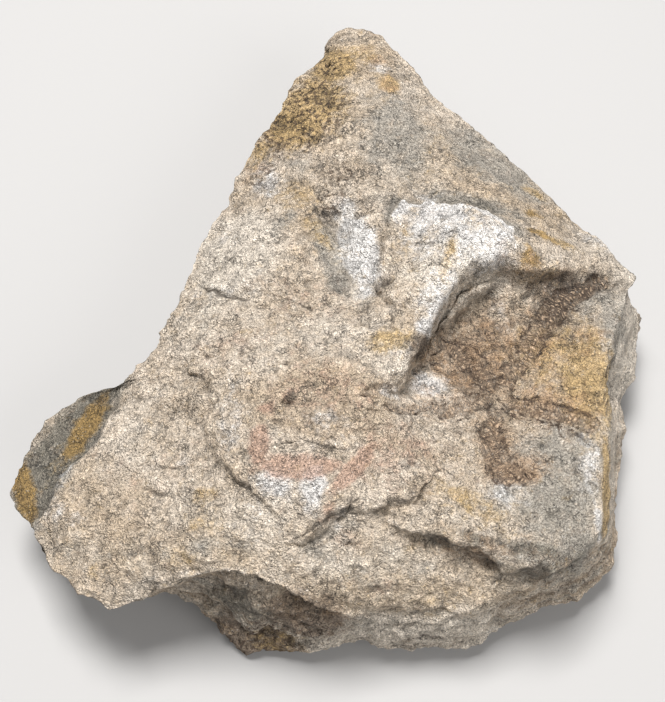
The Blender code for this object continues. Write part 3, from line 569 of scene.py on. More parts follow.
PATCHES = {
    Pigment.CREAM: patches(
        # Painted light: the cream patches at (82, -14) on the right side and at (20, -94) on the near slope
        # lighten faces that turn from the lamps, and the one at (36, -7) is a painted highlight on the ridge
        # below the wall.
        (82, -14, 30, 8, 26, 1.3, 0, 14), (20, -94, 16, 40, 7, 1.2, 0, 14), (8, -82, 40, 24, 8, 0.6),
        (36, -7, 46, 13, 4.5, 1.2, 40, 4.5), (75, -48, 34, 6, 18, 0.7, 0, 12), (-4, -94, 12, 11, 5, 0.9),
        (-30, 9, 44, 13, 14.5, 1.5, 20), (-38, -13, 44, 11.4, 10.2, 0.6), (-3, -20, 52, 15.9, 8, 0.5),
        (30, -3, 58, 14.8, 12, 0.9), (4, 3, 47, 5.1, 15.5, 0.9, 10), (24, -34, 40, 8.5, 4.8, 1.2),
        (28, -24, 38, 8, 4, 0.8, -30, 4), (72, 12, 37, 8.5, 3.6, 0.5, -28), (-23, -71, 50, 17, 5.4, 0.5),
        (-49, -42, 41, 11.4, 9, 0.45), (-51, -55, 40, 14.2, 4.8, 0.3), (15, -29, 53, 11.4, 7.2, 0.6),
        (-19, -25, 50, 11.4, 6, 0.5), (46, 8, 56, 4.5, 6.6, 0.6),
    ),
    Pigment.TAN: patches(
        (-62, -67, 39, 17.6, 10.8, 0.75, -10), (10, -87, 36, 34.1, 6.6, 0.8), (33, -84, 33, 17, 6, 0.6, -8),
        (48, 32, 42, 18.7, 13.2, 1.8, -38), (49, -24, 39, 25.6, 21.5, 0.7), (7, 80, 38, 9.7, 9, 1.1),
        (-12, 20, 45, 5.1, 13.8, 0.6, 10), (-4, -42, 54, 15, 9, 1.9), (-6, -48, 55, 9.7, 4.2, 0.6),
        (53, -88, 30, 17, 4.8, 0.6, -10), (22, -79, 41, 11.4, 7.2, 0.4), (-39, -78, 44, 17, 6, 0.5, -8),
        (10, -51, 52, 11.4, 4.2, 0.5), (-5, 51, 42, 17, 14.9, 0.6), (-26, -33, 49, 8.5, 9, 0.35),
    ),
    Pigment.SLATE: patches(
        (57, -82, 38, 13, 4.5, 0.9, 0, 6), (-32, -88, 28, 17, 6, 0.8, -8, 11),
        # Painted shade: the slate patches at (40, -2) and (31, -8) darken the scoop under the raised block's
        # lip, and those at (31, -75.5) and (49, -78) the undercut below the grey ridge.
        (40, -2, 52, 8, 4, 0.5, 20, 3.4), (31, -8, 51, 6, 4, 0.4, 45, 3.4),
        (31, -75.5, 44, 9, 1.8, 1.1, -6, 5), (49, -78, 42, 10, 1.8, 0.95, -8, 6),
        (-76, -46, 31, 27.3, 8.4, 1.1, 58), (37, 23, 47, 15.3, 3.3, 0.55, -14),
        (56, -65, 44, 11.4, 14.9, 0.25), (-84, -63, 30, 8.5, 4.8, 0.5, 58),
    ),
    Pigment.GREY: patches(
        (-75, -48, 32, 26.1, 7.8, 1, 58), (17, 49, 44, 10.8, 20.9, 0.8, -8),
        (24, 70, 36, 5.1, 7.2, 0.35, -30), (37, 23, 47, 14.8, 3.6, 0.95, -14),
        (47, 42, 38, 19.9, 11, 0.9, -38), (56, -61, 45, 13.1, 18.5, 0.85),
        (52, -80, 40, 14.8, 4.8, 0.9, -12), (61, -78, 39, 6.2, 6.6, 1.1), (72, -5, 40, 6.5, 8, 0.8),
        (74, -38, 41, 4, 14, 0.7), (77, -16, 42, 5, 14.9, 0.85), (69, -69, 39, 4, 17.9, 0.4),
        (43, -66, 44, 9.1, 6, 0.6, -18), (-16, 17, 46, 2.6, 6.6, 0.7, -28), (-3, 6, 46, 3.4, 13, 1.1, 14),
        (-55, -78, 40, 14.8, 3.6, 0.35, -6), (-31, -78, 47, 11.9, 2.7, 0.45),
        (-3, -76, 46, 8, 5.4, 0.5, 20), (4, -84, 42, 8.5, 4.8, 0.3), (17, -83, 39, 6.2, 3.6, 0.35),
        (17, -56, 49, 4, 3, 0.5), (-55, -64, 40, 11.4, 4.2, 0.2), (-12, 38, 42, 4.5, 4.2, 0.4),
        (13, 18, 49, 4.5, 12, 0.35, 12), (-71, -74, 36, 8, 4.8, 0.35, -20), (14, -93, 25, 19.9, 3, 0.3),
        (80, -12, 34, 6, 24, 0.45, 0, 12), (75, -48, 34, 5, 20, 0.3, 0, 12),
    ),
    Pigment.AMBER: patches(
        (-70, -40, 32, 3.1, 9.6, 1.2, -28), (-86, -57, 28, 2.8, 10.2, 1.2, 20), (55, 21, 43, 3, 3, 0.7),
        (52, 2, 51, 3.4, 4.2, 0.7), (57, 12, 46, 5.5, 1.5, 0.8, -10),
    ),
    Pigment.OCHRE: patches(
        (-11, 60, 38, 13.1, 12.6, 1.2, 55), (-2, 78, 37, 5.7, 7.2, 1.6), (15, 69, 40, 3, 3.8, 1.2),
        (8, 82, 38, 5, 5, 0.5), (-24, 47, 37, 4.5, 7.8, 0.65, -35), (-8, 69, 38, 8, 4.2, 0.5, 40),
        (13, -24, 54, 6, 3.8, 0.75, 10), (67, -30, 42, 7.4, 15.5), (60, -22, 39, 12, 13, 0.6),
        (29, -1, 58, 1.7, 7.8, 0.7, -14), (61, 12, 43, 6.2, 1.8, 0.8, -6), (57, 32, 38, 3.4, 1.8, 0.8, -20),
        (17, 5, 54, 3.4, 9, 0.3), (36, 13, 56, 2.3, 7.2, 0.35), (70, -61, 39, 1.8, 14, 1.3),
        (-35, -64, 45, 4.5, 2.7, 0.45), (-35, -71, 45, 4.3, 3, 0.45), (-41, -80, 43, 4, 2.4, 0.45),
        (-63, -82, 36, 2.6, 2.1, 0.45), (-12, 26, 44, 5.7, 7.8, 0.45, 30), (-7, 15, 46, 3.4, 8.4, 0.5, 24),
        (33, -67, 48, 10.8, 4.2, 0.55, -28), (12, 64, 42, 4.5, 3, 0.35), (55, 2, 50, 7.4, 3, 0.4),
        (25, -88, 31, 8.5, 4.2, 0.25), (-17, -93, 8, 8.5, 3.6, 0.5), (21, 7, 54, 5.7, 7.2, 0.2),
        (29, 43, 43, 4.5, 9, 0.2), (-76, -52, 32, 2.3, 5.4, 0.3, -30), (65, -85, 30, 5.7, 3, 0.3, 20),
        (0, 9, 46, 2.6, 7.8, 0.3, 12), (66, 26, 34, 5.7, 3, 0.3, -35),
    ),
    Pigment.RUST: patches(
        (15, 69, 40, 3.4, 4.2, 0.5), (12, 80, 37, 4.3, 2.7, 0.45), (8, 85, 36, 2.8, 1.5, 0.4, 30),
        (45, -57, 42, 8.5, 4.2, 1, 8), (41, -50, 41, 6, 9.5, 0.6), (29, -25, 38, 11.4, 3.9, 0.6, -34),
        (22, -25, 48, 4.5, 3, 0.7, 30), (57, -37, 40, 12, 7, 0.65, -8), (52, 1, 51, 4.5, 2.7, 0.5),
        (44, -20, 39, 20, 14, 0.5), (-11, -87, 22, 5.7, 4.8, 0.6), (-1, -89, 26, 5.7, 2.4, 0.5),
        (33, -76, 40, 11.9, 3.6, 0.45, -14), (26, -36, 40, 12, 6, 0.5, -4),
        (60, -7, 39, 6.2, 7.8, 0.35, -40), (-25, 39, 38, 5.1, 3.6, 0.45, 30), (48, -75, 43, 2.3, 1.8, 0.3),
        (44, -14, 39, 6.2, 6, 0.2), (8, -59, 52, 4, 2.4, 0.2), (25, -76, 42, 3.4, 2.4, 0.3),
        (-37, -26, 45, 2.8, 2.4, 0.25), (68, -18, 41, 5.7, 6.6, 0.4), (35, -30, 39, 5.7, 4.8, 0.4),
    ),
    Pigment.PINK: patches(
        (-21, -54, 54, 2.4, 5.4, 1.3), (-11, -60, 56, 9.7, 3, 1.3), (3, -60, 54, 2, 7.8, 1.5, -38),
        (-19, -43, 53, 2.6, 1.8, 0.8), (-14, -39, 52, 2, 2.1, 0.7), (6, -42, 55, 3.4, 1.8, 0.5, 40),
        (1, -76, 46, 4, 2.1, 0.4), (-4, -37, 54, 16.5, 8.4, 0.35), (16, -53, 50, 11.4, 7.2, 0.4),
        (-23, 41, 38, 3.7, 2.7, 0.4, 30), (-11, -9, 48, 17, 9, 0.2), (11, -86, 36, 4, 1.8, 0.3),
        (-3, -70, 54, 1.7, 4.8, 0.5, -30), (-30, -23, 47, 11.4, 6, 0.25), (44, 1, 58, 2.8, 3.6, 0.2),
        (10, -62, 52, 8.5, 4.2, 0.3), (-45, -59, 42, 14.2, 9, 0.15), (-9, -26, 51, 5.7, 3.6, 0.25),
    ),
    Pigment.WHITE: patches(
        (29, 15, 54, 9.1, 5.4, 1.1, -12), (36, 6, 58, 13, 9, 0.75, 0, 5), (23, 9, 54, 7, 10, 0.6, 10, 5),
        (28, -9, 58, 6, 6.5, 0.6, 40, 5), (24, 24, 46, 5.7, 2.4, 0.8), (40, 1, 58, 7.4, 6, 0.65),
        (26, -13, 56, 6.2, 6, 0.6, 40), (23, -19, 55, 3.4, 2.4, 1, 40), (44, 7, 58, 3.4, 6, 0.5),
        (5, 8, 48, 4.4, 11, 1.6, 18), (7, -6, 47, 2.8, 2.4, 0.8), (1, 22, 45, 3.4, 4.2, 0.65),
        (-7, -65, 55, 3, 5.6, 1.1, -10), (-17, -64, 54, 4.6, 3.4, 0.9, -20),
        (-29, -46, 49, 3.4, 10.2, 0.45), (-21, 34, 40, 4.5, 6.6, 0.6, 24), (24, -31, 39, 5.1, 3.6),
        (46, -11, 40, 2.8, 4.8, 0.4, 20), (71, -22, 43, 2.8, 4.2, 0.5), (65, -53, 44, 2.8, 9.6, 0.55),
        (67, -70, 40, 1.1, 6.6, 0.8, 14), (42, -63, 44, 5.1, 3.6, 0.55),
        (-73, -66, 36, 6.8, 4.2, 0.35, -20), (-74, -55, 32, 2.3, 4.8, 0.5, -25),
        (-40, -54, 43, 4.5, 3, 0.3), (-23, -70, 50, 5.1, 4.2, 0.3), (15, -27, 54, 3.4, 1.8, 0.6),
        (6, 90, 34, 5.7, 3.6, 0.25), (12, 76, 38, 4, 3, 0.5), (-4, -48, 55, 6.2, 4.2, 0.35),
        (-30, -4, 45, 14.2, 3, 0.25), (-33, 14, 41, 5.7, 4.2, 0.3), (75, 16, 35, 6.8, 2.7, 0.5, -28),
        (21, -8, 56, 3.4, 3, 0.3), (-1, -71, 48, 2.3, 3, 0.3), (33, 2, 58, 2.8, 3, 0.5),
        (19, 17, 52, 2.3, 4.2, 0.6), (-32, -84, 42, 14.2, 1.5, 0.3), (52, -87, 16, 11.4, 2.4, 0.3, 10),
        (13, -37, 50, 4, 1.8, 0.5, 20),
    ),
    Pigment.BROWN: patches(
        (37, -27, 38, 9, 8, 1, 10), (56, -18, 39, 17, 17.9, 0.4), (37, -19, 38, 11, 8, 0.85, 20),
        (37, -44, 41, 14.2, 9, 0.3), (29, -18, 36, 9.7, 4.8, 0.25, 32), (38, -5, 46, 14.2, 3, 0.35, 28),
        (62, -1, 40, 11.4, 4.8, 0.9), (-24, -93, 5, 14, 8, 1.2, -30, 12), (-10, -91, 33, 9, 5, 1.2),
        (-8, -90, 24, 9, 5, 1.4), (-3, -92, 12, 17, 4.2, 0.25), (41, -78, 39, 17, 3.6, 0.5, -10),
        (56, -83, 38, 11.4, 4.2, 0.45), (-16, 52, 38, 9, 7, 0.7, 50), (20, -79, 41, 6.8, 6, 0.2),
        (1, 33, 44, 6.2, 4.8, 0.25), (12, -6, 50, 3.4, 2.4, 0.5), (-5, -46, 55, 13, 7, 0.4),
        (40, -52, 42, 8.5, 9, 0.15), (-45, -84, 30, 17, 2.4, 0.3), (63, -82, 20, 11.4, 4.2, 0.35, 20),
        (24, -94, 10, 17, 2.7, 0.35), (76, 1, 38, 8.5, 3.6, 0.35, -10),
    ),
    Pigment.BLACK: patches(
        # Painted shadow: the thin black patches at (29, -13) and (42, -3) run along the foot of the ridge
        # below the wall, and the one at (32, -75.8) under the grey ridge.
        (29, -13, 43, 8, 1, 0.4, 52, 4), (42, -3, 43, 9, 1, 0.4, 12, 4), (65, -1, 39, 9.7, 3.6, 0.8, 16),
        (32, -75.8, 43.5, 9, 1.2, 0.7, -6, 3), (60, -7, 38, 7.5, 6, 0.8, 45),
        (22, -24, 52, 6.2, 3, 0.8, 32), (1, 33, 44, 5.1, 3.6, 0.3), (-3, 21, 44, 4, 1.5, 0.7),
        (12, -6, 50, 2.6, 2.1, 0.7, -20), (-13.2, -40, 52, 1.4, 1.8, 0.9), (6, 43, 45, 0.9, 0.9, 1.2),
        (35, 52, 38, 0.9, 0.9, 0.9), (-23, 33, 40, 4, 2.4, 0.4, 30), (1, 79, 38, 3.4, 3.6, 0.3),
        (-5, 64, 40, 7.4, 3.6, 0.4, -20), (40, -36, 39, 1.1, 1.5, 0.8), (2, -68, 52, 2.8, 1.2, 0.5),
        (62, -47, 44, 4, 1.5, 0.6, -20), (41, -59, 44, 4, 1.2, 0.5), (-11, -86, 30, 3.4, 2.4, 0.5),
        (-7, 22, 44, 1.4, 1.2, 0.8), (-2, 12, 45, 1.4, 3.6, 0.3, 25),
    ),
    Pigment.PITTED: patches(
        (-24, -96, 14, 16, 8, 0.6, 0, 16), (-8, -92, 20, 10, 6, 0.5, 0, 12),
        (-12, 58, 38, 14.8, 14.3, 1, 50), (-2, 78, 37, 6.2, 6.6, 0.7), (-23, 36, 40, 5.1, 3, 0.6, 30),
        (1, 33, 44, 6, 4.6, 0.6), (-3, 25, 44, 4.5, 4.8, 0.7), (59, -8, 38, 7.4, 9, 0.3, 45),
        (42, -52, 42, 6.8, 7.8, 0.3),
    ),
    Pigment.SMOOTH: patches(
        (-75, -48, 32, 26.1, 7.8, 1, 58), (19, 46, 45, 12.5, 19.7), (37, 23, 47, 14.8, 3.6, 1, -14),
        (50, 38, 38, 22.7, 13.2, 0.7, -38), (56, -61, 45, 14.2, 19.1), (55, -79, 42, 14.2, 5.4, 0.9, -10),
        (67, -69, 41, 5.1, 17.9, 0.9), (-2, 4, 46, 3.1, 12, 0.9, 12), (-16, 17, 46, 2.6, 6.6, 0.8, -28),
        (73, -5, 40, 7.4, 9, 0.7), (66, 16, 38, 17, 4.8, 0.4, -30), (77, -18, 42, 4.5, 17.9, 0.8),
        (81, -10, 32, 6, 24, 1, 0, 14), (76, -45, 32, 6, 22, 0.9, 0, 12), (22, 10, 54, 19.9, 12, 0.25),
        (25, -61, 48, 11.4, 6, 0.3),
    ),
}
# How steeply a patch ends at its edge.
PATCH_FALL = 0.7

FLANK_BANDS = {
    "hollow under the near ledge": FlankBand(246, 26, 0.1, 0.1, -5.0),
    "hollow beside the grey plate": FlankBand(230, 10, 0.45, 0.25, -5.0),
    "slot over the foot": FlankBand(243, 14, 0.78, 0.08, -3.5),
    "rounded right side": FlankBand(-35, 30, 0.45, 0.35, 0.4),
    "bulge under the far right edge": FlankBand(20, 7, 0.45, 0.4, 1.8),
    "notch under the far right corner": FlankBand(26, 4, 0.5, 0.8, -4.0),
    "waist of the right side": FlankBand(6, 7, 0.5, 0.5, -2.2),
    "drawn-in near right corner": FlankBand(-42, 16, 0.75, 0.5, -3.0),
    "shoulder under the left side": FlankBand(165, 40, 0.35, 0.25, 2.0),
}

# Distance past a route's end over which its value fades out.
END_FADE = 1.5
# How softly a route's pieces give way to each other: at the route, and for each millimetre away from it.
SOFT_AT_ROUTE = 0.3
SOFT_PER_MM = 0.25


@dataclass(frozen=True)
class Beside:
    """Where points of the plan lie beside a route.

    Attributes:
        signed: Distance from the route, positive on its left.
        value: The route's own value near each point, which fades out past the route's ends.
        along: Distance along the route to the nearest place.
        left: The direction to the route's left there.
    """

    signed: Array
    value: Array
    along: Array
    left: Array


def beside(route: Route, plan: Array) -> Beside:
    """Finds where points of the plan lie beside a route.

    Args:
        route: x, y and a value, such as a drop, at each corner.
        plan: Points of the plan.

    Returns:
        Their places beside the route, eased where one piece of it gives way to the next.
    """
    corners = np.array(route, float)
    steps = np.diff(corners[:, :2], axis=0)
    lengths = np.linalg.norm(steps, axis=1)
    sides = np.column_stack([-steps[:, 1], steps[:, 0]]) / lengths[:, None]
    travelled = np.concatenate([[0.0], np.cumsum(lengths)[:-1]])
    offset = plan[None] - corners[:-1, None, :2]
    free = np.einsum("snk,sk->sn", offset, steps) / lengths[:, None] ** 2
    share = np.clip(free, 0, 1)
    away = offset - share[..., None] * steps[:, None]
    distance = np.linalg.norm(away, axis=2)
    side = np.where(np.einsum("snk,sk->sn", away, sides) < 0, -1, 1)
    value = corners[:-1, None, 2] + share * np.diff(corners[:, 2])[:, None]
    value[0] *= bell(np.minimum(free[0], 0) * lengths[0], END_FADE)
    value[-1] *= bell(np.maximum(free[-1] - 1, 0) * lengths[-1], END_FADE)
    first = distance.argmin(axis=0)
    columns = np.arange(len(plan))
    nearest = distance[first, columns]
    weight = np.exp(-(distance - nearest) / (SOFT_AT_ROUTE + SOFT_PER_MM * nearest))
    weight /= weight.sum(axis=0)
    along = travelled[:, None] + share * lengths[:, None]
    signed = nearest * side[first, columns]
    return Beside(signed, (weight * value).sum(axis=0), (weight * along).sum(axis=0), weight.T @ sides)


def close_to(route: Route, plan: Array, reach: float) -> Array:
    """Finds the points of the plan that can be near a route.

    Args:
        route: The route.
        plan: Points of the plan.
        reach: How far the route's box is grown on all sides.

    Returns:
        The numbers of the points inside the grown box.
    """
    corners = np.array(route, float)[:, :2]
    inside = (plan > corners.min(axis=0) - reach) & (plan < corners.max(axis=0) + reach)
    return np.flatnonzero(np.all(inside, axis=1))


def near_route(route: Route, plan: Array, reach: float) -> tuple[Array, Beside]:
    """The numbers of the points of the plan that can be near a route, and where they lie beside it."""
    rows = close_to(route, plan, reach)
    return rows, beside(route, plan[rows])


def eased(share: Array) -> Array:
    """A share held between 0 and 1, and eased at both ends."""
    share = np.clip(share, 0, 1)
    return share * share * (3 - 2 * share)


def bell(distance: Array, width: float, power: int = 2) -> Array:
    """A hill of height 1 that falls off over a width, more abruptly at a higher power."""
    return np.exp(-((distance / width) ** power))


def lifted(plan: Array, height: float = 0.0) -> Array:
    """Points of the plan as points in space at one height."""
    return np.column_stack([plan, np.full(len(plan), height)])


def ray_along(bearing: Array) -> Array:
    """The plan's unit vector along each bearing."""
    return np.stack([np.cos(bearing), np.sin(bearing)], axis=1)


def turn_from(middle: float, bearing: Array) -> Array:
    """Degrees, from -180 to 180, between a middle bearing in degrees and each bearing in radians."""
    return (np.degrees(bearing) - middle + 180) % 360 - 180


def points_of(mesh: bpy.types.Mesh) -> Array:
    """A mesh's points, one to a row."""
    found = np.zeros(len(mesh.vertices) * 3, np.float32)
    mesh.vertices.foreach_get("co", found)
    return found.reshape(-1, 3).astype(float)


def reach_of(outline: Route, bearing: Array) -> tuple[Array, Array]:
    """How far an outline lies from the middle, and its height there, at each bearing.

    Args:
        outline: x, y and height of its corners, anticlockwise.
        bearing: Bearings in radians.

    Returns:
        The reach and the height at each bearing.
    """
    corners = np.array(outline, float)
    corners[:, :2] -= MIDDLE
    corners = corners[np.argsort(np.arctan2(corners[:, 1], corners[:, 0]))]
    angles = np.arctan2(corners[:, 1], corners[:, 0])
    after = np.searchsorted(angles, bearing) % len(corners)
    first, second = corners[after - 1], corners[after]
    along = second - first
    ray = ray_along(bearing)
    cross_side = ray[:, 0] * along[:, 1] - ray[:, 1] * along[:, 0]
    cross_first = first[:, 0] * along[:, 1] - first[:, 1] * along[:, 0]
    reach = cross_first / cross_side
    share = (first[:, 0] * ray[:, 1] - first[:, 1] * ray[:, 0]) / cross_side
    return reach, first[:, 2] + share * along[:, 2]


def gentle_reach(bearing: Array) -> Array:
    """The face edge's reach with its corners evened out, so that they don't pull the face's middle about.

    Args:
        bearing: Bearings in radians.

    Returns:
        The evened reach at each.
    """
    ring = np.radians(np.arange(-180.0, 180.0, GENTLE_STEP))
    reach, _ = reach_of(FACE_EDGE, ring)
    offsets = np.arange(-GENTLE_SAMPLES, GENTLE_SAMPLES + 1)
    weights = bell(offsets * GENTLE_STEP, GENTLE_SPREAD)
    weights = weights / weights.sum()
    evened = sum(weight * np.roll(reach, offset) for weight, offset in zip(weights, offsets))
    return np.interp(bearing, ring, evened, period=2 * math.pi)


class LatticeNoise:
    """Repeatable gradient noise and cell noise over whole arrays of points."""

    SIZE = 4096
    PRIMES = (73856093, 19349663, 83492791)
    GAIN = 1.6

    def __init__(self, seed: int) -> None:
        """Draws the lattice's directions and its loose points.

        Args:
            seed: Picks the pattern.
        """
        draw = np.random.default_rng(seed)
        directions = draw.normal(size=(self.SIZE, 3))
        self.directions = directions / np.linalg.norm(directions, axis=1)[:, None]
        self.offsets = draw.uniform(0, 1, size=(self.SIZE, 3))

    def _slot(self, cell: Array) -> Array:
        """The tables' slot for each lattice cell."""
        mixed = (cell * self.PRIMES).astype(np.int64)
        joined = mixed[:, 0] ^ mixed[:, 1] ^ mixed[:, 2]
        return (joined ^ (joined >> 13)) % self.SIZE

    def waves(self, points: Array, size: float) -> Array:
        """Smooth noise of about -0.7 to 0.7.

        Args:
            points: Points in space.
            size: Distance over which the noise changes.

        Returns:
            Its value at each point.
        """
        scaled = points / size
        cell = np.floor(scaled).astype(np.int64)
        inside = scaled - cell
        ease = inside * inside * inside * (inside * (inside * 6 - 15) + 10)
        total = np.zeros(len(points))
        for corner in product((0, 1), repeat=3):
            weight = np.prod(np.where(corner, ease, 1 - ease), axis=1)
            gradient = self.directions[self._slot(cell + corner)]
            total += weight * (gradient * (inside - corner)).sum(axis=1)
        return self.GAIN * total

    def nearest(self, points: Array, size: float) -> Array:
        """Distance to the nearest of the loose points that are spread one to a cell.

        Args:
            points: Points in space.
            size: The cells' size.

        Returns:
            The distance from each point, as a share of the cells' size.
        """
        scaled = points / size
        cell = np.floor(scaled).astype(np.int64)
        best = np.full(len(points), np.inf)
        for step in product((-1, 0, 1), repeat=3):
            place = (cell + step) + self.offsets[self._slot(cell + step)]
            best = np.minimum(best, ((scaled - place) ** 2).sum(axis=1))
        return np.sqrt(best)


@dataclass
class StarMould:
    """The star's mould in the bed: the hollows of its arms and the rows of small plates pressed into them.

    Attributes:
        grain: The noise that makes the arms' edges ragged and their floors lumpy.
        row_pitch: Distance between rows of plates along an arm.
        column_pitch: Distance between plates across an arm.
        reach: Distance from an arm's box within which it shows.
        rags: Size of the notches in an arm's edge, and the share of its half-width that they take.
        disc_depth: Depth of the disc that the arms meet in.
        crown: Share of an arm's depth by which the middle of its floor stands up.
        tooth_size: Size of the breaks in the groove along an arm's edge.
        margin_depth: Depth of that groove.
        lump_size: Distance between the lumps of an arm's floor.
        line_reach: Distance from a dark line within which its side is known.
        line_width: Half-width of the groove in it.
    """

    grain: LatticeNoise
    row_pitch: float = 1.0
    column_pitch: float = 1.9
    reach: float = 8.0
    rags: Pairs = ((2.6, 0.3), (1.2, 0.2))
    disc_depth: float = 0.7
    crown: float = 0.5
    tooth_size: float = 2.4
    margin_depth: float = 0.35
    lump_size: float = 1.5
    lump_stand: float = 0.6
    line_reach: float = 3.0
    line_width: float = 0.5
    line_depth: float = 0.35

    def _across(self, arm: Arm, plan: Array) -> tuple[Beside, Array]:
        """Finds where points of the plan lie across an arm.

        Args:
            arm: The arm.
            plan: Points of the plan.

        Returns:
            Their places beside its middle, and their distance from it as a share of its ragged half-width.
        """
        place = beside(arm.route, plan)
        ragged = np.ones(len(plan))
        for size, share in self.rags:
            ragged += share * self.grain.waves(lifted(plan), size)
        return place, np.abs(place.signed) / (np.maximum(place.value, 0.05) * ragged)

    def depth(self, plan: Array) -> Array:
        """Finds the mould's depth.

        Args:
            plan: Points of the plan.

        Returns:
            The depth at each.
        """
        off_centre = np.linalg.norm(plan - STAR_CENTRE, axis=1)
        depth = self.disc_depth * bell(off_centre, STAR_DISC_RADIUS, 4)
        for arm in STAR_ARMS.values():
            rows = close_to(arm.route, plan, self.reach)
            _, across = self._across(arm, plan[rows])
            crowned = (1 - self.crown) + self.crown * np.minimum(across, 1) ** 2
            depth[rows] = np.maximum(depth[rows], arm.depth * bell(across, 1, 6) * crowned)
        return depth

    def plates(self, plan: Array) -> tuple[Array, dict[Trace, Array]]:
        """The arms' coarse relief, and where the small plates pressed into them lie.

        Args:
            plan: Points of the plan.

        Returns:
            How far the surface stands out at each point, and the star's masks.
        """
        relief = np.zeros(len(plan))
        kinds = (Trace.ARM, Trace.ARM_MARGIN, Trace.ARM_ACROSS, Trace.PLATE_ROW, Trace.PLATE_COLUMN)
        found = {trace: np.zeros(len(plan)) for trace in kinds}
        for number, arm in enumerate(STAR_ARMS.values()):
            rows = close_to(arm.route, plan, self.reach)
            place, across = self._across(arm, plan[rows])
            spots = lifted(plan[rows], 3.0)
            body = bell(across, 1, 6) * eased(place.along / 3) * (0.4 + 0.6 * arm.crispness)
            toothed = eased(2.0 * self.grain.waves(spots + 120, self.tooth_size) + 0.5)
            margin = bell(across - 1.0, 0.4) * toothed * arm.crispness * eased(place.value)
            lump = 1 - eased(self.grain.nearest(spots + 60, self.lump_size) / 0.8)
            relief[rows] += self.lump_stand * body * (lump - 0.4) - self.margin_depth * margin
            chosen = body > found[Trace.ARM][rows]
            layers = {
                Trace.PLATE_ROW: place.along / self.row_pitch + 0.9 * across + 40 * number,
                Trace.PLATE_COLUMN: place.signed / self.column_pitch,
                Trace.ARM_ACROSS: np.clip(place.signed / np.maximum(place.value, 0.3), -3, 3),
                Trace.ARM: body,
            }
            for trace, values in layers.items():
                found[trace][rows[chosen]] = values[chosen]
            found[Trace.ARM_MARGIN][rows] = np.maximum(found[Trace.ARM_MARGIN][rows], margin)
        side, strength = self.lines(plan)
        relief -= self.line_depth * strength * bell(side, self.line_width)
        return relief, found | {Trace.LINE: strength, Trace.LINE_SIDE: side}

    def lines(self, plan: Array) -> tuple[Array, Array]:
        """The signed distance to the nearest dark line along the arms, and how strong that line is.

        Args:
            plan: Points of the plan.

        Returns:
            The distance, which is kept small enough for the mesh's points to carry it, and the strength.
        """
        side = np.full(len(plan), self.line_reach)
        strength = np.zeros(len(plan))
        for route in chain(*STAR_LINES.values()):
            rows, place = near_route(route, plan, self.line_reach)
            nearer = np.abs(place.signed) < np.abs(side[rows])
            side[rows[nearer]] = place.signed[nearer]
            strength[rows[nearer]] = (place.value * bell(place.signed, 1.0))[nearer]
        return side, strength


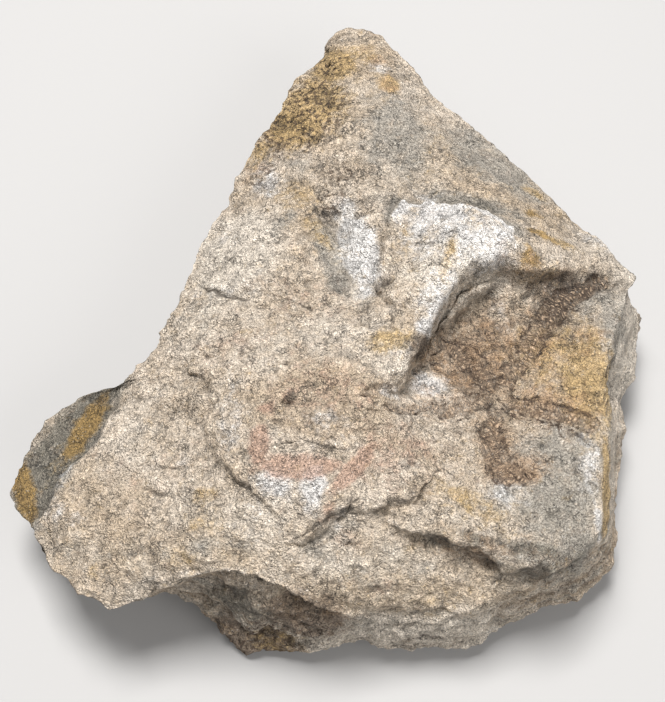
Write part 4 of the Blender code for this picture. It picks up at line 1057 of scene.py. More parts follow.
class FaceSurface:
    """The face's height over the plan: a bent plate through the named heights, with its steps and details.

    JAGS holds the size of the notches in each edge and how far they move it. SHARPNESS is how sharp a step is
    for its width, and DROPPED how far it lies on the low side of its route.
    """

    CHUNK = 20000
    JAGS = ((5.5, 1.3), (2.1, 0.4))
    SHARPNESS = 1.6
    DROPPED = 0.8

    def __init__(self, star: StarMould, grain: LatticeNoise) -> None:
        """Bends the plate through the named heights.

        Args:
            star: The star pressed into it.
            grain: The noise that makes its edges jagged.
        """
        self.star = star
        self.grain = grain
        spots = [spot for group in SPOT_HEIGHTS.values() for spot in group] + list(FACE_EDGE)
        self.plan = np.array([spot[:2] for spot in spots], float)
        wanted = np.array([spot[2] for spot in spots], float) - self.steps(self.plan)
        count = len(spots)
        squared = ((self.plan[:, None] - self.plan[None]) ** 2).sum(axis=2)
        flat = np.column_stack([np.ones(count), self.plan])
        system = np.zeros((count + 3, count + 3))
        system[:count, :count] = self.bending(squared) + SPOT_SLACK * np.eye(count)
        system[:count, count:] = flat
        system[count:, :count] = flat.T
        self.weights = np.linalg.solve(system, np.append(wanted, np.zeros(3)))

    @staticmethod
    def bending(squared: Array) -> Array:
        """The thin plate's bending function of a squared distance."""
        return squared * np.log(np.maximum(squared, 1e-9))

    def steps(self, plan: Array) -> Array:
        """The ledges' own part of the height, which fades out on both sides of each.

        Args:
            plan: Points of the plan.

        Returns:
            How far the ledges raise or lower each.
        """
        height = np.zeros(len(plan))
        for ledge in LEDGES.values():
            rows, place = near_route(ledge.route, plan, 3 * ledge.reach)
            rise = 0.5 * place.value * np.tanh(self.SHARPNESS * place.signed / ledge.width + self.DROPPED)
            height[rows] += rise * bell(place.signed, ledge.reach)
        return height

    def jagged(self, plan: Array) -> Array:
        """Moves the plan's points a little, which makes every edge drawn on it jagged.

        Args:
            plan: Points of the plan.

        Returns:
            Their moved places.
        """
        moved = plan.copy()
        for axis in range(2):
            shifted = lifted(plan) + 31.0 * (axis + 1)
            moved[:, axis] += sum(stand * self.grain.waves(shifted, size) for size, stand in self.JAGS)
        return moved

    def details(self, plan: Array) -> Array:
        """Furrows, cracks and swells, on top of the face's large form.

        Args:
            plan: Points of the plan.

        Returns:
            How far they raise or lower each.
        """
        height = np.zeros(len(plan))
        for furrow in (*FURROWS.values(), *CRACKS.values()):
            rows, place = near_route(furrow.route, plan, 4 * furrow.half_width)
            height[rows] -= place.value * bell(place.signed, furrow.half_width)
        for swell in SWELLS.values():
            height += swell.rise * np.exp(-(((plan - swell.at) / swell.radii) ** 2).sum(axis=1))
        return height

    def cracked(self, plan: Array) -> Array:
        """How much of a crack there is.

        Args:
            plan: Points of the plan.

        Returns:
            A share from 0 to 1 at each.
        """
        jagged = self.jagged(plan)
        dark = np.zeros(len(plan))
        for crack in CRACKS.values():
            rows = close_to(crack.route, plan, 6 * crack.half_width)
            place = beside(crack.route, jagged[rows])
            line = np.clip(1.3 * place.value, 0, 1) * bell(place.signed, 0.8 * crack.half_width)
            dark[rows] = np.maximum(dark[rows], line)
        return dark

    def height(self, plan: Array) -> Array:
        """The height of the face.

        Args:
            plan: Points of the plan.

        Returns:
            The height over each.
        """
        plate = np.zeros(len(plan))
        for start in range(0, len(plan), self.CHUNK):
            part = slice(start, start + self.CHUNK)
            squared = ((plan[part, None] - self.plan[None]) ** 2).sum(axis=2)
            plate[part] = self.bending(squared) @ self.weights[:-3]
        plate += self.weights[-3] + plan @ self.weights[-2:]
        jagged = self.jagged(plan)
        return plate + self.steps(jagged) + self.details(jagged) - self.star.depth(plan)


def gathered(plan: Array) -> Array:
    """Draws the plan's points together at each step, so that a steep wall gets enough of them.

    Args:
        plan: Points of the plan.

    Returns:
        Their moved places.
    """
    plan = plan.copy()
    for ledge in LEDGES.values():
        rows, place = near_route(ledge.route, plan, 3 * GATHER_REACH)
        pull = GATHER_SHARE * np.minimum(place.value / FULL_DROP, 1) * bell(place.signed, GATHER_REACH)
        plan[rows] -= place.left * (place.signed * pull)[:, None]
    return plan


def leaned(plan: Array) -> Array:
    """Leans each step's top edge out over its foot.

    Args:
        plan: Points of the plan.

    Returns:
        Their moved places.
    """
    moved = plan.copy()
    for ledge in LEDGES.values():
        if not ledge.overhang:
            continue
        rows, place = near_route(ledge.route, plan, 6 * ledge.width)
        sharp = bell(place.signed - 0.5 * ledge.width, 1.6 * ledge.width)
        moved[rows] -= place.left * (ledge.overhang * place.value * sharp)[:, None]
    return moved


def flank_push(bearing: Array, share: Array) -> Array:
    """How far the named bands push the flank out.

    Args:
        bearing: Bearings in radians.
        share: How far down the flank each point lies, from 0 to 1.

    Returns:
        The push at each point.
    """
    push = np.zeros(len(bearing))
    for band in FLANK_BANDS.values():
        across = turn_from(band.bearing, bearing) / band.spread
        push += band.push * np.exp(-(across**2) - ((share - band.share) / band.share_spread) ** 2)
    return push


@dataclass
class FossilBlock:
    """The block of stone: its form, its relief, its stains with some painted light and shade, and its finish.
    Lengths are in millimetres.

    Attributes:
        face_share: Share of the starting sphere that becomes the face.
        flank_share: Share of the starting sphere that becomes the flanks.
        skirt_at: Where down the flank the skirt lies, from 0 to 1.
        base_shrink: The base's size as a share of the skirt's.
        rest_depth: How far the underside is pressed flat.
        star_reach: Distance from the star's arms within which the mesh is divided once more.
        bed_run: Distance along a bed over which it changes.
        bed_push: How far the beds stand out of the flank.
        bed_bend: How far they bend up and down.
        bed_end: Share of the flank over which they fade out at its top and bottom.
        bed_break: Distance after which one is broken off.
        near_bearing: Middle of the part of the flank where the beds are weathered down, in degrees from +X.
        worn_share: Share of the beds that is gone there and on smooth stone.
        rest_place: x and y of the place the block rests on, where the underside is whole.
        stand: How far the block is moved along X and Y to stand in the middle of its solid's box.
        roughness: Size of the broken stone's large lumps, and how far they stand out.
        lump_seed: Picks one pattern of those lumps.
        smooth_calm: Share of the fine relief that smooth stone lacks.
        star_calm: Share of it that the star's hollows lack.
        flank_lumps: Height of the fine lumps on the flanks, as a share of the face's.
        cavity_rounds: How many times the mean that shows a hollow is spread to the next neighbours.
        white_width: Width of the raised block's white edge, which the grey slope lies behind.
    """

    sphere_subdivisions: int = 8
    triangle_budget: int = 192000
    face_share: float = 0.66
    flank_share: float = 0.2
    skirt_at: float = 0.74
    base_shrink: float = 0.9
    base_edge_height: float = 3.6
    rest_depth: float = 0.5
    star_reach: float = 5.0
    bed_run: float = 30.0
    bed_height: float = 4.2
    bed_push: float = 3.4
    bed_bend: float = 3.5
    bed_end: float = 0.12
    bed_break: float = 17.0
    thin_bed_run: float = 14.0
    thin_bed_height: float = 1.5
    thin_bed_push: float = 0.9
    near_bearing: float = 292.0
    near_spread: float = 82.0
    worn_share: float = 0.75
    hollow_size: float = 27.0
    hollow_depth: float = 3.2
    rest_place: tuple[float, float] = (0.0, -32.0)
    rest_radius: float = 26.0
    stand: tuple[float, float] = (-1.28, 0.01)
    roughness: Pairs = ((26.0, 1.1), (12.0, 0.9), (5.5, 0.5), (2.8, 0.22))
    lump_seed: int = 1795464237
    smooth_calm: float = 0.7
    star_calm: float = 0.6
    flank_lumps: float = 0.8
    pit_size: float = 2.4
    pit_depth: float = 1.3
    cavity_rounds: int = 24
    white_width: float = 3.6
    grey_width: float = 5.0

    def build(self, finish: "SandstoneFinish") -> bpy.types.Object:
        """Makes the whole block and hands it to the frame.

        Args:
            finish: What the stone is made of.

        Returns:
            The finished object.
        """
        self.grain = LatticeNoise(17)
        self.star = StarMould(LatticeNoise(5))
        self.face = FaceSurface(self.star, self.grain)
        mesh, directions = self.sphere()
        points, plan, traces = self.form(directions)
        self.place(mesh, points)
        self.carve(mesh, points, plan, traces)
        self.paint(mesh, traces)
        stone = bpy.data.objects.new(PIECE_NAME, self.thinned(mesh))
        bpy.context.scene.collection.objects.link(stone)
        self.settle(stone.data)
        stone.data.materials.append(finish.build())
        stone.data.polygons.foreach_set("use_smooth", np.ones(len(stone.data.polygons), bool))
        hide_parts(NODE_NAME)
        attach(stone, "root")
        LOG.info("%s: %d triangles", stone.name, len(stone.data.polygons))
        return stone

    def sphere(self) -> tuple[bpy.types.Mesh, Array]:
        """The starting sphere, divided once more where the star will be.

        Returns:
            The sphere's mesh and the direction of each of its points.
        """
        shell = bmesh.new()
        bmesh.ops.create_icosphere(shell, subdivisions=self.sphere_subdivisions, radius=1.0)
        directions = np.array([vertex.co for vertex in shell.verts])
        plan = self.face_plan(directions)
        reach = np.full(len(plan), np.inf)
        for arm in STAR_ARMS.values():
            place = beside(arm.route, plan)
            reach = np.minimum(reach, np.abs(place.signed))
        in_star = (reach < self.star_reach) & (directions[:, 2] > 1 - 2 * self.face_share)
        edges = [edge for edge in shell.edges if all(in_star[vertex.index] for vertex in edge.verts)]
        bmesh.ops.subdivide_edges(shell, edges=edges, cuts=1, use_grid_fill=True)
        bmesh.ops.triangulate(shell, faces=[face for face in shell.faces if len(face.verts) > 3])
        mesh = bpy.data.meshes.new(PIECE_NAME)
        shell.to_mesh(mesh)
        shell.free()
        directions = points_of(mesh)
        return mesh, directions / np.linalg.norm(directions, axis=1)[:, None]

    def face_plan(self, directions: Array) -> Array:
        """Finds where each direction of the sphere falls on the face's plan, drawn together at the steps.

        Args:
            directions: Unit vectors.

        Returns:
            A point of the plan for each.
        """
        bearing = np.arctan2(directions[:, 1], directions[:, 0])
        covered = 0.5 * (1 - directions[:, 2])
        edge_reach, _ = reach_of(FACE_EDGE, bearing)
        spread = np.sqrt(np.clip(covered / self.face_share, 0, 1))
        rim = spread**5
        reach = gentle_reach(bearing) * (1 - rim) + edge_reach * rim
        return gathered(MIDDLE + ray_along(bearing) * (spread * reach)[:, None])

    def form(self, directions: Array) -> tuple[Array, Array, dict[Trace, Array]]:
        """The block's large form, with its lumps.

        Args:
            directions: Unit vectors spread over a sphere, from the face at its top to the underside.

        Returns:
            A point of the surface for each, its place in the plan before it is moved, and the first masks.
        """
        bearing = np.arctan2(directions[:, 1], directions[:, 0])
        covered = 0.5 * (1 - directions[:, 2])
        edge_reach, _ = reach_of(FACE_EDGE, bearing)
        skirt_reach, skirt_height = reach_of(SKIRT, bearing)
        ray = ray_along(bearing)
        points = np.zeros((len(directions), 3))

        on_face = covered <= self.face_share
        plan = self.face_plan(directions)
        points[on_face, 2] = self.face.height(plan[on_face])
        points[on_face, :2] = leaned(plan[on_face])

        down = (covered - self.face_share) / self.flank_share
        flank = (down > 0) & (down <= 1)
        points[flank] = self.flank_points(
            bearing[flank], down[flank], edge_reach[flank], skirt_reach[flank], skirt_height[flank]
        )

        under = down > 1
        spread = np.sqrt((1 - covered[under]) / (1 - self.face_share - self.flank_share))
        reach = spread * self.base_shrink * skirt_reach[under]
        flat = MIDDLE + ray[under] * reach[:, None]
        points[under, :2] = flat
        points[under, 2] = (self.base_edge_height + self.rest_depth) * spread**5 - self.rest_depth
        points[under, 2] += self.hollows(flat)
        traces = {Trace.FLANK: eased(down / 0.25 + 0.4), Trace.HOLLOW: np.zeros(len(points))}
        return self.roughened(points), plan, traces

    def flank_points(
        self,
        bearing: Array,
        down: Array,
        edge_reach: Array,
        skirt_reach: Array,
        skirt_height: Array,
    ) -> Array:
        """Points of the flank, which breaks along the beds.

        Args:
            bearing: Bearing of each point from the middle.
            down: Its place down the flank, from 0 at the face to 1 at the underside.
            edge_reach: The face edge's reach at that bearing.
            skirt_reach: The skirt's reach there.
            skirt_height: The skirt's height there.

        Returns:
            The points.
        """
        ray = ray_along(bearing)
        edge_height = self.face.height(MIDDLE + ray * edge_reach[:, None])
        share = np.clip(down / self.skirt_at, 0, 1)
        tuck = eased((down - self.skirt_at) / (1 - self.skirt_at))
        reach = edge_reach + (skirt_reach - edge_reach) * share
        reach += (self.base_shrink - 1) * skirt_reach * tuck**2 + flank_push(bearing, share)
        height = edge_height + (skirt_height - edge_height) * share
        height += (self.base_edge_height - skirt_height) * tuck
        points = np.column_stack([MIDDLE + ray * reach[:, None], height])
        bend = self.bed_bend * self.grain.waves(points + 50, self.bed_run)
        bent = points + (0.0, 0.0, 1.0) * bend[:, None]
        scaled = bent / (self.bed_run, self.bed_run, self.bed_height)
        layers = np.array([noise.noise(Vector(point)) for point in scaled])
        thin = self.grain.waves(bent / (self.thin_bed_run, self.thin_bed_run, self.thin_bed_height), 1.0)
        ends = eased(down / self.bed_end) * eased((1 - down) / self.bed_end)
        ends *= 0.35 + 0.75 * eased(1.4 * self.grain.waves(points + 90, self.bed_break) + 0.5)
        near = bell(turn_from(self.near_bearing, bearing), self.near_spread, 4)
        smooth = np.clip(self.cover(Pigment.SMOOTH, points), 0, 1)
        ends *= (1 - self.worn_share * smooth) * (1 - self.worn_share * near)
        points[:, :2] += ray * ((self.bed_push * layers + self.thin_bed_push * thin) * ends)[:, None]
        return points

    def hollows(self, plan: Array) -> Array:
        """Makes the underside's hollows, which spare the place the block rests on.

        Args:
            plan: Points of the plan.

        Returns:
            How far the underside rises above its plane at each.
        """
        spots = lifted(plan / self.hollow_size, 7.0)
        lumps = np.array([noise.noise(Vector(spot)) for spot in spots])
        away = 1 - bell(np.linalg.norm(plan - self.rest_place, axis=1), self.rest_radius, 4)
        return self.hollow_depth * lumps * away

    def roughened(self, points: Array) -> Array:
        """Moves points by the broken stone's large lumps.

        Args:
            points: The points.

        Returns:
            Their moved places.
        """
        noise.seed_set(self.lump_seed)
        moved = points.copy()
        for size, stand in self.roughness:
            moved += stand * np.array([noise.noise_vector(Vector(point)) for point in points / size])
        return moved

    @staticmethod
    def place(mesh: bpy.types.Mesh, points: Array) -> None:
        """Moves a mesh's points."""
        mesh.vertices.foreach_set("co", np.ascontiguousarray(points, np.float32).ravel())
        mesh.update()

    @staticmethod
    def normals(mesh: bpy.types.Mesh) -> Array:
        """Finds the outward direction at each point of a mesh.

        Args:
            mesh: The mesh.

        Returns:
            A unit vector for each point.
        """
        found = np.zeros(len(mesh.vertices) * 3, np.float32)
        mesh.vertex_normals.foreach_get("vector", found)
        return found.reshape(-1, 3).astype(float)

    @staticmethod
    def cover(pigment: Pigment, points: Array) -> Array:
        """Finds how much of the surface a pigment's patches take.

        Args:
            pigment: The pigment.
            points: Points of the surface.

        Returns:
            A share at each point, from 0 to 1 and a little over.
        """
        total = np.zeros(len(points))
        for patch in PATCHES[pigment]:
            turn = math.radians(patch.turn)
            offset = points - patch.at
            along = (offset[:, 0] * math.cos(turn) + offset[:, 1] * math.sin(turn)) / patch.radii[0]
            across = (offset[:, 1] * math.cos(turn) - offset[:, 0] * math.sin(turn)) / patch.radii[1]
            distance = np.sqrt(along**2 + across**2 + (offset[:, 2] / patch.depth) ** 2)
            total = np.maximum(total, patch.strength * np.exp(-PATCH_FALL * distance**3))
        return total

    def flakes(self, points: Array) -> Array:
        """Finds how far the short broken steps raise the face.

        Args:
            points: Points of the face.

        Returns:
            The rise at each.
        """
        height = np.zeros(len(points))
        for flaking in FLAKINGS:
            shifted = points + flaking.seed
            bend = sum(stand * self.grain.waves(shifted, size * flaking.pitch) for size, stand in FLAKE_BENDS)
            phase = bend - points[:, 1] / flaking.pitch
            step = np.floor(phase)
            across, up = points[:, 0] / flaking.run, 0.5 * points[:, 2] / flaking.run
            lane = np.column_stack([across, FLAKE_LANES * step + flaking.seed, up])
            life = eased((self.grain.waves(lane, 1.0) + 0.05) / 0.3)
            share = phase - step
            height += flaking.stand * life * (share - eased((share - FLAKE_BREAK) / FLAKE_BREAK_WIDTH))
        return height

    def carve(
        self, mesh: bpy.types.Mesh, points: Array, plan: Array, traces: dict[Trace, Array]
    ) -> None:
        """Raises the fine relief along the surface's own direction.

        Args:
            mesh: The mesh to move.
            points: Its points.
            plan: Their places in the plan before they were moved.
            traces: Masks of the form, to which those of the star are added.
        """
        flank = traces[Trace.FLANK]
        smooth = np.clip(self.cover(Pigment.SMOOTH, points), 0, 1)
        pitted = np.clip(self.cover(Pigment.PITTED, points), 0, 1)
        on_face = flank < 0.9
        plates, star_traces = self.star.plates(plan)
        in_star = np.clip(self.star.depth(plan) * on_face, 0, 1)
        calm = (1 - self.smooth_calm * smooth) * (1 - self.star_calm * in_star)
        lumpy = calm + self.flank_lumps * flank * (1 - smooth)
        relief = plates * on_face
        for size, stand in FINE_LUMPS:
            relief = relief + stand * lumpy * self.grain.waves(points, size)
        relief += calm * (1 - flank) * self.flakes(points)
        cells = np.flatnonzero(pitted > 0.04)
        pits = eased(1 - self.grain.nearest(points[cells], self.pit_size) / 0.5)
        relief[cells] -= self.pit_depth * pitted[cells] * pits
        star_traces[Trace.CRACK] = self.face.cracked(plan)
        traces |= {trace: values * on_face for trace, values in star_traces.items()}
        traces[Trace.HOLLOW][cells] = pitted[cells] * pits
        moved = points + self.normals(mesh) * relief[:, None]
        moved[:, 2] = np.maximum(moved[:, 2], 0)
        self.place(mesh, moved)

    def paint(self, mesh: bpy.types.Mesh, traces: dict[Trace, Array]) -> None:
        """Stores every mask on the mesh.

        Args:
            mesh: The carved mesh.
            traces: The masks that the form left.
        """
        points = points_of(mesh)
        traces[Trace.CAVITY] = self.cavity(mesh, points)
        masks = {trace.value: values for trace, values in traces.items()}
        masks |= {pigment.value: self.cover(pigment, points) for pigment in Pigment}
        inside, behind = self.block_edge(points)
        white, grey = Pigment.WHITE.value, Pigment.GREY.value
        masks[white] = np.maximum(masks[white] * (1 - behind), inside)
        masks[grey] = np.maximum(masks[grey] * (1 - 0.8 * inside), behind)
        for name, values in masks.items():
            layer = mesh.attributes.new(name, "FLOAT", "POINT")
            layer.data.foreach_set("value", values.astype(np.float32))

    def block_edge(self, points: Array) -> tuple[Array, Array]:
        """Finds the raised block's white edge, and the grey slope behind it.

        Args:
            points: Points of the surface.

        Returns:
            How much of the surface each of the two takes.
        """
        route = LEDGES["raised block's far edge"].route[:BLOCK_EDGE_CORNERS]
        rows = close_to(route, points[:, :2], 9)
        place = beside(route, self.face.jagged(points[rows, :2]))
        share = eased(0.5 + place.signed / 0.9)
        held = eased(place.value / 2.0)
        inside, behind = np.zeros(len(points)), np.zeros(len(points))
        inside[rows] = share * held * bell(np.maximum(place.signed, 0), self.white_width)
        behind[rows] = (1 - share) * held * bell(np.minimum(place.signed, 0), self.grey_width)
        return inside, behind

    def cavity(self, mesh: bpy.types.Mesh, points: Array) -> Array:
        """Finds how far each point lies below the mean of those around it, in millimetres.

        Args:
            mesh: The mesh.
            points: Its points.

        Returns:
            The depth at each point, negative on a ridge.
        """
        edges = np.zeros(len(mesh.edges) * 2, np.int32)
        mesh.edges.foreach_get("vertices", edges)
        first, second = edges.reshape(-1, 2).T
        count = len(points)
        degree = np.bincount(edges, minlength=count)
        spread = points.copy()
        for _ in range(self.cavity_rounds):
            for axis in range(3):
                column = spread[:, axis]
                total = np.bincount(first, column[second], count) + np.bincount(second, column[first], count)
                spread[:, axis] = 0.4 * column + 0.6 * total / degree
        return ((spread - points) * self.normals(mesh)).sum(axis=1)

    def thinned(self, mesh: bpy.types.Mesh) -> bpy.types.Mesh:
        """Thins a mesh to the triangle budget, most where its surface bends least.

        Args:
            mesh: The fine mesh, which is used up.

        Returns:
            The thinned mesh.
        """
        helper = bpy.data.objects.new("block_before_thinning", mesh)
        bpy.context.scene.collection.objects.link(helper)
        thinning = helper.modifiers.new("thin the facets", "DECIMATE")
        thinning.ratio = self.triangle_budget / len(mesh.polygons)
        bpy.context.view_layer.update()
        thin = bpy.data.meshes.new_from_object(helper.evaluated_get(bpy.context.evaluated_depsgraph_get()))
        bpy.data.objects.remove(helper)
        bpy.data.meshes.remove(mesh)
        thin.name = PIECE_NAME
        return thin

    def settle(self, mesh: bpy.types.Mesh) -> None:
        """Turns the mesh to metres and stands it in the solid's box, resting on the floor."""
        self.place(mesh, (points_of(mesh) + (*self.stand, 0.0)) * METRES_PER_MM)


Value = Union[float, "Shade"]


class Shade:
    """One output of a material's nodes, with arithmetic that adds Math nodes."""

    def __init__(self, book: "NodeBook", socket: bpy.types.NodeSocket) -> None:
        """Wraps a socket."""
        self.book = book
        self.socket = socket

    def __add__(self, other: Value) -> "Shade":
        """Sum."""
        return self.book.math("ADD", self, other)

    __radd__ = __add__

    def __sub__(self, other: Value) -> "Shade":
        """Difference."""
        return self.book.math("SUBTRACT", self, other)

    def __rsub__(self, other: Value) -> "Shade":
        """Difference, with the number first."""
        return self.book.math("SUBTRACT", other, self)

    def __mul__(self, other: Value) -> "Shade":
        """Product."""
        return self.book.math("MULTIPLY", self, other)

    __rmul__ = __mul__


class NodeBook:
    """A material's nodes, added one call at a time. Its place is where the point is, in millimetres."""

    def __init__(self, name: str) -> None:
        """Starts a material with its shader.

        Args:
            name: The material's name.
        """
        self.material = bpy.data.materials.new(name)
        self.material.use_nodes = True
        self.tree = self.material.node_tree
        self.shader = self.tree.nodes["Principled BSDF"]
        self.place: Shade | None = None

    def node(self, kind: str, settings: dict[str, Any], *values: Any, output: str = "") -> Shade:
        """Adds a node.

        Args:
            kind: The node's type.
            settings: Its settings, which are set first.
            values: Numbers, colours or shades for its sockets in their order, or None to leave one alone.
            output: Name of the output wanted, or nothing for the first.

        Returns:
            That output.
        """
        made = self.tree.nodes.new(kind)
        for name, value in settings.items():
            setattr(made, name, value)
        sockets = [socket for socket in made.inputs if socket.enabled]
        for socket, value in zip(sockets, values):
            if isinstance(value, Shade):
                self.tree.links.new(value.socket, socket)
            elif value is not None:
                socket.default_value = (*value, 1.0) if socket.type == "RGBA" else value
        outputs = [socket for socket in made.outputs if socket.enabled and output in ("", socket.name)]
        return Shade(self, outputs[0])

    def math(self, operation: str, *values: Value) -> Shade:
        """Adds a Math node."""
        return self.node("ShaderNodeMath", {"operation": operation}, *values)

    def vector(self, operation: str, *values: Any) -> Shade:
        """Adds a Vector Math node."""
        return self.node("ShaderNodeVectorMath", {"operation": operation}, *values)

    def mask(self, kind: Pigment | Trace) -> Shade:
        """A mask that the mesh carries."""
        return self.node("ShaderNodeAttribute", {"attribute_name": kind.value}, output="Fac")

    def noise(self, size: float, detail: float = 3.0, rough: float = 0.6, at: Shade | None = None) -> Shade:
        """Noise of about 0.25 to 0.75 that changes over a size in millimetres."""
        return self.node("ShaderNodeTexNoise", {}, at or self.place, 1 / size, detail, rough)

    def step(self, value: Value, low: float, high: float) -> Shade:
        """A soft step from 0 below the low value to 1 above the high one."""
        settings = {"interpolation_type": "SMOOTHSTEP"}
        return self.node("ShaderNodeMapRange", settings, value, low, high, 0.0, 1.0)

    def over(self, share: Value, under: Any, top: Any) -> Shade:
        """A colour with another laid over a share of it."""
        return self.node("ShaderNodeMix", {"data_type": "RGBA"}, share, under, top)

    def finish(self, colour: Shade, roughness: Value, height: Shade, metres: float) -> bpy.types.Material:
        """Joins the last sockets.

        Args:
            colour: Base colour.
            roughness: Roughness.
            height: Relief, in units of the next length.
            metres: Length that one unit of relief stands for.

        Returns:
            The finished material.
        """
        normal = self.node("ShaderNodeBump", {}, 1.0, metres, None, height)
        links = {"Base Color": colour, "Roughness": roughness, "Normal": normal}
        for name, value in links.items():
            if isinstance(value, Shade):
                self.tree.links.new(value.socket, self.shader.inputs[name])
            else:
                self.shader.inputs[name].default_value = value
        return self.material


@dataclass(frozen=True)
class Stain:
    """How a pigment shows, which for some patches is painted light and shade.

    Attributes:
        pigment: The pigment.
        colour: Its colour.
        patch_size: Size of the blotches that break its edge, in millimetres.
        softness: How softly it fades into the stone.
        strongest: The most of the stone's own colour it hides.
    """

    pigment: Pigment
    colour: Colour
    patch_size: float
    softness: float
    strongest: float


@dataclass(frozen=True)
class SandstoneFinish:
    """Fine buff sandstone: its grain, its mottles and the stains over it, with shade and light painted into
    its colour.

    Attributes:
        crevice_shade: Colour of the painted shade in cracks and pits.
        plate_shade: Colour of the painted shade in the gaps between the star's plates, along its arms' edges
            and dark lines, and in the small holes.
        mean_grains: The lightness, from grain and painted shade, at which they change nothing.
        bedding: How much of the flanks' colour the beds take.
        hollow_shade: Share of the colour darkened in a hollow, as painted shade.
        bump: How far the plates, the small holes and the dark lines stand out or in.
        facets: Size of each kind of broken facet, and its strength.
        creases: Size of each kind of hair crack, and its width.
        stains: The stains, from the lowest to the one on top; some cream, slate and black patches among them
            are painted light and shade.
    """

    cream: Colour = (0.66, 0.565, 0.46)
    tan: Colour = (0.49, 0.39, 0.285)
    bed_brown: Colour = (0.38, 0.285, 0.195)
    bed_grey: Colour = (0.43, 0.39, 0.33)
    quartz: Colour = (0.85, 0.83, 0.78)
    # Painted shade inside cracks and pits.
    crevice_shade: Colour = (0.10, 0.08, 0.06)
    plate_shade: Colour = (0.105, 0.066, 0.042)
    # Painted highlight on the tops of the star's plates.
    plate_highlight: Colour = (0.66, 0.47, 0.315)
    roughness: float = 0.92
    grain_size: float = 0.5
    mean_grains: float = 2.02
    bedding: float = 0.7
    quartz_share: float = 0.2
    # How strongly the grain's tone and the relief's painted shade lighten and darken the colour.
    speckle: float = 0.5
    hollow_shade: float = 0.30
    # Painted highlight: how much lighter the colour is made on ridges.
    ridge_light: float = 0.15
    # Shares of painted shade in cracks and pits, along the arms' edges, in the plates' gaps, in the dark
    # lines and in the holes; plate_share also sets the plates' painted highlight.
    crack_share: float = 0.7
    margin_share: float = 0.06
    plate_share: float = 0.7
    line_share: float = 0.95
    hole_share: float = 0.85
    bump: tuple[float, float, float] = (0.9, 0.8, 0.9)
    facets: Pairs = ((2.6, 0.55), (1.2, 0.7))
    creases: Pairs = ((5.0, 0.02), (2.0, 0.034))
    crease_depth: float = 0.8
    stains: tuple[Stain, ...] = (
        Stain(Pigment.CREAM, (0.71, 0.63, 0.53), 7.0, 0.45, 0.8),
        Stain(Pigment.TAN, (0.50, 0.39, 0.275), 6.0, 0.45, 0.8),
        Stain(Pigment.GREY, (0.365, 0.33, 0.28), 6.0, 0.35, 0.9),
        Stain(Pigment.SLATE, (0.185, 0.165, 0.13), 5.0, 0.35, 0.9),
        Stain(Pigment.BROWN, (0.225, 0.165, 0.115), 4.5, 0.35, 0.85),
        Stain(Pigment.WHITE, (0.73, 0.71, 0.69), 4.0, 0.35, 0.8),
        Stain(Pigment.PINK, (0.46, 0.285, 0.205), 3.6, 0.4, 0.75),
        Stain(Pigment.AMBER, (0.31, 0.195, 0.065), 3.2, 0.36, 0.92),
        Stain(Pigment.OCHRE, (0.50, 0.335, 0.135), 3.2, 0.42, 0.78),
        Stain(Pigment.RUST, (0.43, 0.265, 0.145), 3.2, 0.45, 0.72),
        Stain(Pigment.BLACK, (0.06, 0.045, 0.034), 2.4, 0.35, 0.8),
    )

    def build(self) -> bpy.types.Material:
        """Makes the stone's material.

        Returns:
            The finished material.
        """
        book = NodeBook("buff_sandstone")
        point = book.node("ShaderNodeTexCoord", {}, output="Object")
        book.place = book.vector("SCALE", point, 1 / METRES_PER_MM)
        colour = self.base(book)
        for stain in self.stains:
            colour = self.stained(book, colour, stain)
        colour, plates = self.plated(book, colour)
        grain_tone_and_shade, relief = self.relief(book)
        colour = self.grained_and_shaded(book, colour, grain_tone_and_shade)
        return book.finish(colour, self.roughness, relief + plates, METRES_PER_MM)

    def base(self, book: NodeBook) -> Shade:
        """Makes the stone's own mottled colour, which is banded along the beds on the flanks.

        Args:
            book: The material's nodes.

        Returns:
            The colour.
        """
        broad = book.noise(24.0, 2.0)
        middling = book.noise(7.0, 4.0)
        small = book.noise(1.9, 3.0)
        mottle = 0.35 * broad + 0.4 * middling + 0.25 * small
        buff = book.over(book.step(mottle, 0.36, 0.64), self.cream, self.tan)
        beds = book.vector("MULTIPLY", book.place, (0.055, 0.055, 0.42))
        band = book.node("ShaderNodeTexNoise", {}, beds, 1.0, 4.0, 0.62)
        bedded = book.over(book.step(band, 0.46, 0.60), buff, self.bed_brown)
        bedded = book.over(book.step(band, 0.46, 0.36), bedded, self.bed_grey)
        return book.over(self.bedding * book.mask(Trace.FLANK), buff, bedded)

    def stained(self, book: NodeBook, colour: Shade, stain: Stain) -> Shade:
        """Lays one stain over a colour, broken at its edge.

        Args:
            book: The material's nodes.
            colour: The colour so far.
            stain: The stain.

        Returns:
            The colour with the stain.
        """
        shifted = book.vector("ADD", book.place, (17.0 * len(stain.pigment.value), 5.0, 11.0))
        blotch = book.noise(stain.patch_size, 6.0, 0.72, shifted)
        level = book.mask(stain.pigment) + 2.0 * (blotch - 0.5)
        share = book.step(level, 0.5 - stain.softness, 0.5 + stain.softness)
        return book.over(stain.strongest * share, colour, stain.colour)

